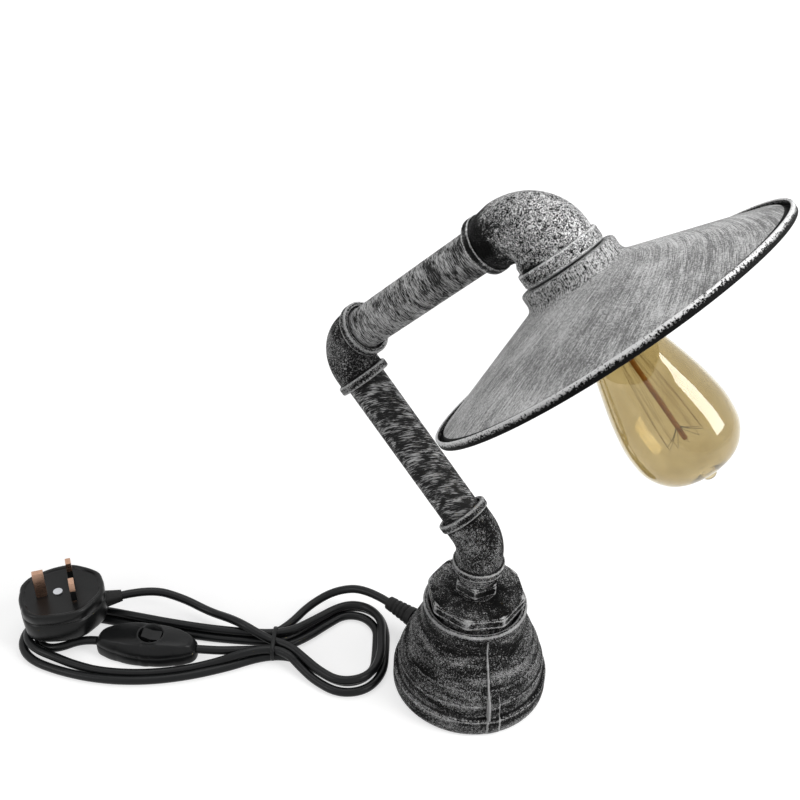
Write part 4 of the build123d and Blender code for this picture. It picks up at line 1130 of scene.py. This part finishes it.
# %% The switch: lower shell and lid
switch_corners = [(-38, 6), (-14, 14.5), (12, 14.5), (38, 6)]
rocker_shift = 4.0
switch_corners = switch_corners + [(x, -y) for x, y in reversed(switch_corners)]
shell_edge = star_reach([(x + rocker_shift, y) for x, y in switch_corners], 9.0, shell_angles)
window = star_reach([(-8, -4.8), (8, -4.8), (8, 4.8), (-8, 4.8)], 0.5, shell_angles)
switch_middle = switch_frame @ shift(-rocker_shift, 0, 0)


def boat(x, height):
    """Above the parting line the lid sinks towards its ends: rise times 1 - 0.42 (|x| / 38)^2.2."""
    sink = 1 - 0.42 * (np.abs(x - rocker_shift) / 38) ** 2.2
    return np.where(height > 10.3, 10.3 + (height - 10.3) * sink, height)


switch_shell = moulded("switch_shell", [
    (0, 0), (shell_edge - 3.4, 0), (shell_edge - 1.4, 0.5), (shell_edge - 0.3, 1.8), (shell_edge, 3.4),
    (shell_edge, 9.0), (shell_edge - 0.4, 9.6), (shell_edge - 1.0, 9.9), (0, 9.9)],
    shell_angles, switch_middle)
switch_lid = moulded("switch_lid", [
    (0, 10.0), (shell_edge - 1.0, 10.0), (shell_edge - 0.4, 10.3), (shell_edge, 10.9),
    (shell_edge - 0.9, 14.0), (shell_edge - 2.1, 17.4), (shell_edge - 3.0, 19.2), (shell_edge - 4.2, 20.4),
    (shell_edge - 5.6, 20.9), (window + 1.7, 21.1), (window + 1.4, 21.6), (window + 0.6, 21.7),
    (window, 21.3), (window, 12.4), (0, 12.4)],
    shell_angles, switch_middle, droop=boat)
dress(switch_shell, "base", "black_plastic", switch_black, "switch_base")
dress(switch_lid, "base", "black_plastic", switch_black, "switch_cover")

# %% [markdown]
# ## The strain relief and the tie
# The strain relief is a tapered rubber sleeve with grooves that let it bend: its radius falls along a
# straight line, less a raised cosine at each groove. The tie is a flat band round the bundle, a path that
# is nearly a rectangle: both of its coordinates are a power of the cosine and the sine.

# %% Strain relief and tie
sleeve_start, sleeve_end = 53.4, 78.0
sleeve_bore = 3.3
first_groove, last_groove, groove_pitch, groove_depth = 57.5, 73.5, 4.0, 0.8
along = np.linspace(sleeve_start, sleeve_end, 100)
grooves = (0.5 - 0.5 * np.cos(2 * math.pi * (along - first_groove) / groove_pitch)) ** 2
grooves = grooves * ((along > first_groove) & (along < last_groove))
taper = 7.6 - 2.4 * (along - sleeve_start) / (sleeve_end - sleeve_start)
sleeve_side = np.column_stack([taper - groove_depth * grooves, along])[1:-1]
sleeve_line = np.concatenate([[(sleeve_bore, sleeve_start), (7.2, sleeve_start)], sleeve_side,
                              [(4.9, sleeve_end), (sleeve_bore, sleeve_end)]])
sleeve = skin("strain_relief", carried_round(sleeve_line, circle_angles(96)), boot_frame)
dress(sleeve, "base", "black_rubber", rubber_black, "cord_boot")

path_turn = circle_angles(120)[:, None]
round_band = circle_angles(16)[None, :]
across = np.sign(np.cos(path_turn)) * np.abs(np.cos(path_turn)) ** 0.6
upward = np.sign(np.sin(path_turn)) * np.abs(np.sin(path_turn)) ** 0.6
tie_x, tie_y, tie_z = 146.0, -18.0, 7.35
tie_half_width, tie_half_height, tie_half_band, tie_half_thickness = 13.7, 6.85, 1.5, 0.45
thick = tie_half_thickness * np.cos(round_band)
band = np.stack(np.broadcast_arrays(
    tie_x + tie_half_band * np.sin(round_band), tie_y + (tie_half_width + thick) * across,
    tie_z + (tie_half_height + thick) * upward), axis=-1)
tie = skin("tie_band", band, hank_frame)
dress(tie, "base", "black_tie", flex_black, "cord_tie")

# %% [markdown]
# ## The two cords
# The flex is two free cables, one from the lamp to the switch and one from the switch to the plug.
# This cell prints how long they are.

# %% The lengths of the two cords
print("flex lengths in metres", round(first_length, 3), round(second_length, 3))

# %% [markdown]
# ## The room
# The lamp stands on a pale floor under soft boxes. The lights are large, so their shadows are soft, and the
# world adds even light from all round. More light could burn the floor to white, but it would also wash out
# the lamp. Instead the floor and the world shine by themselves, only for rays that the camera, a shiny
# surface or glass sends out, and the floor shines a little less close by, where the shadow has to show.

# %% The floor
far = 6000
floor = skin("floor", [[(-far, -far, 0), (far, -far, 0)], [(-far, far, 0), (far, far, 0)]],
             rows_closed=False, columns_closed=False)
floor_material = bpy.data.materials.new("pale_floor")
floor_material.use_nodes = True
room = Nodes(floor_material.node_tree)
seen = room.seen_directly()
matt = room.node("ShaderNodeBsdfDiffuse", None, {"Color": grey(0.50)})
close_by = room.step(room.node("ShaderNodeTexGradient", dict(gradient_type="SPHERICAL"), {
    "Vector": room.spot(size=(1500, 1500, 1500))}, output="Fac"), 0.0, 0.7)
lift = room.node("ShaderNodeEmission", None, {"Color": grey(1.0), "Strength": seen * (1.0 - 0.36 * close_by)})
both = room.node("ShaderNodeAddShader", None, {0: matt, 1: lift})
room.node("ShaderNodeOutputMaterial", None, {"Surface": both})
floor.data.materials.append(floor_material)

# %% The world
world = bpy.data.worlds.new("studio")
world.use_nodes = True
bpy.context.scene.world = world
sky = Nodes(world.node_tree)
shine = sky.node("ShaderNodeBackground", None, {
    "Color": grey(1.0), "Strength": 0.30 + 0.70 * sky.seen_directly()})
sky.node("ShaderNodeOutputWorld", None, {"Surface": shine})
print("world nodes", len(sky.tree.nodes))


# %% Soft boxes
def soft_box(name, place, aim, width, height, watts):
    """A rectangular area light whose -Z axis points from its place to its aim."""
    data = bpy.data.lights.new(name, "AREA")
    data.shape = "RECTANGLE"
    data.size = width
    data.size_y = height
    data.energy = watts
    made = bpy.data.objects.new(name, data)
    made.location = place
    made.rotation_euler = (Vector(aim) - Vector(place)).to_track_quat("-Z", "Y").to_euler()
    bpy.context.scene.collection.objects.link(made)
    return made


middle_of_lamp = np.array([-0.05, 0.0, 0.22])
level_forward = np.array([forward[0], forward[1], 0.0]) / np.linalg.norm(forward[:2])
upright = np.array([0, 0, 1])
key_place = middle_of_lamp + 1.0 * right + 0.75 * upright - 0.35 * level_forward
fill_place = middle_of_lamp - 1.2 * right + 0.8 * upright - 0.7 * level_forward
top_place = middle_of_lamp + 1.6 * upright + 0.5 * level_forward
soft_box("key", key_place, middle_of_lamp, 0.55, 0.90, 15)
soft_box("fill", fill_place, middle_of_lamp, 0.6, 0.6, 4)
soft_box("top", top_place, middle_of_lamp, 1.2, 1.2, 9)
bpy.context.scene.view_settings.view_transform = "Standard"
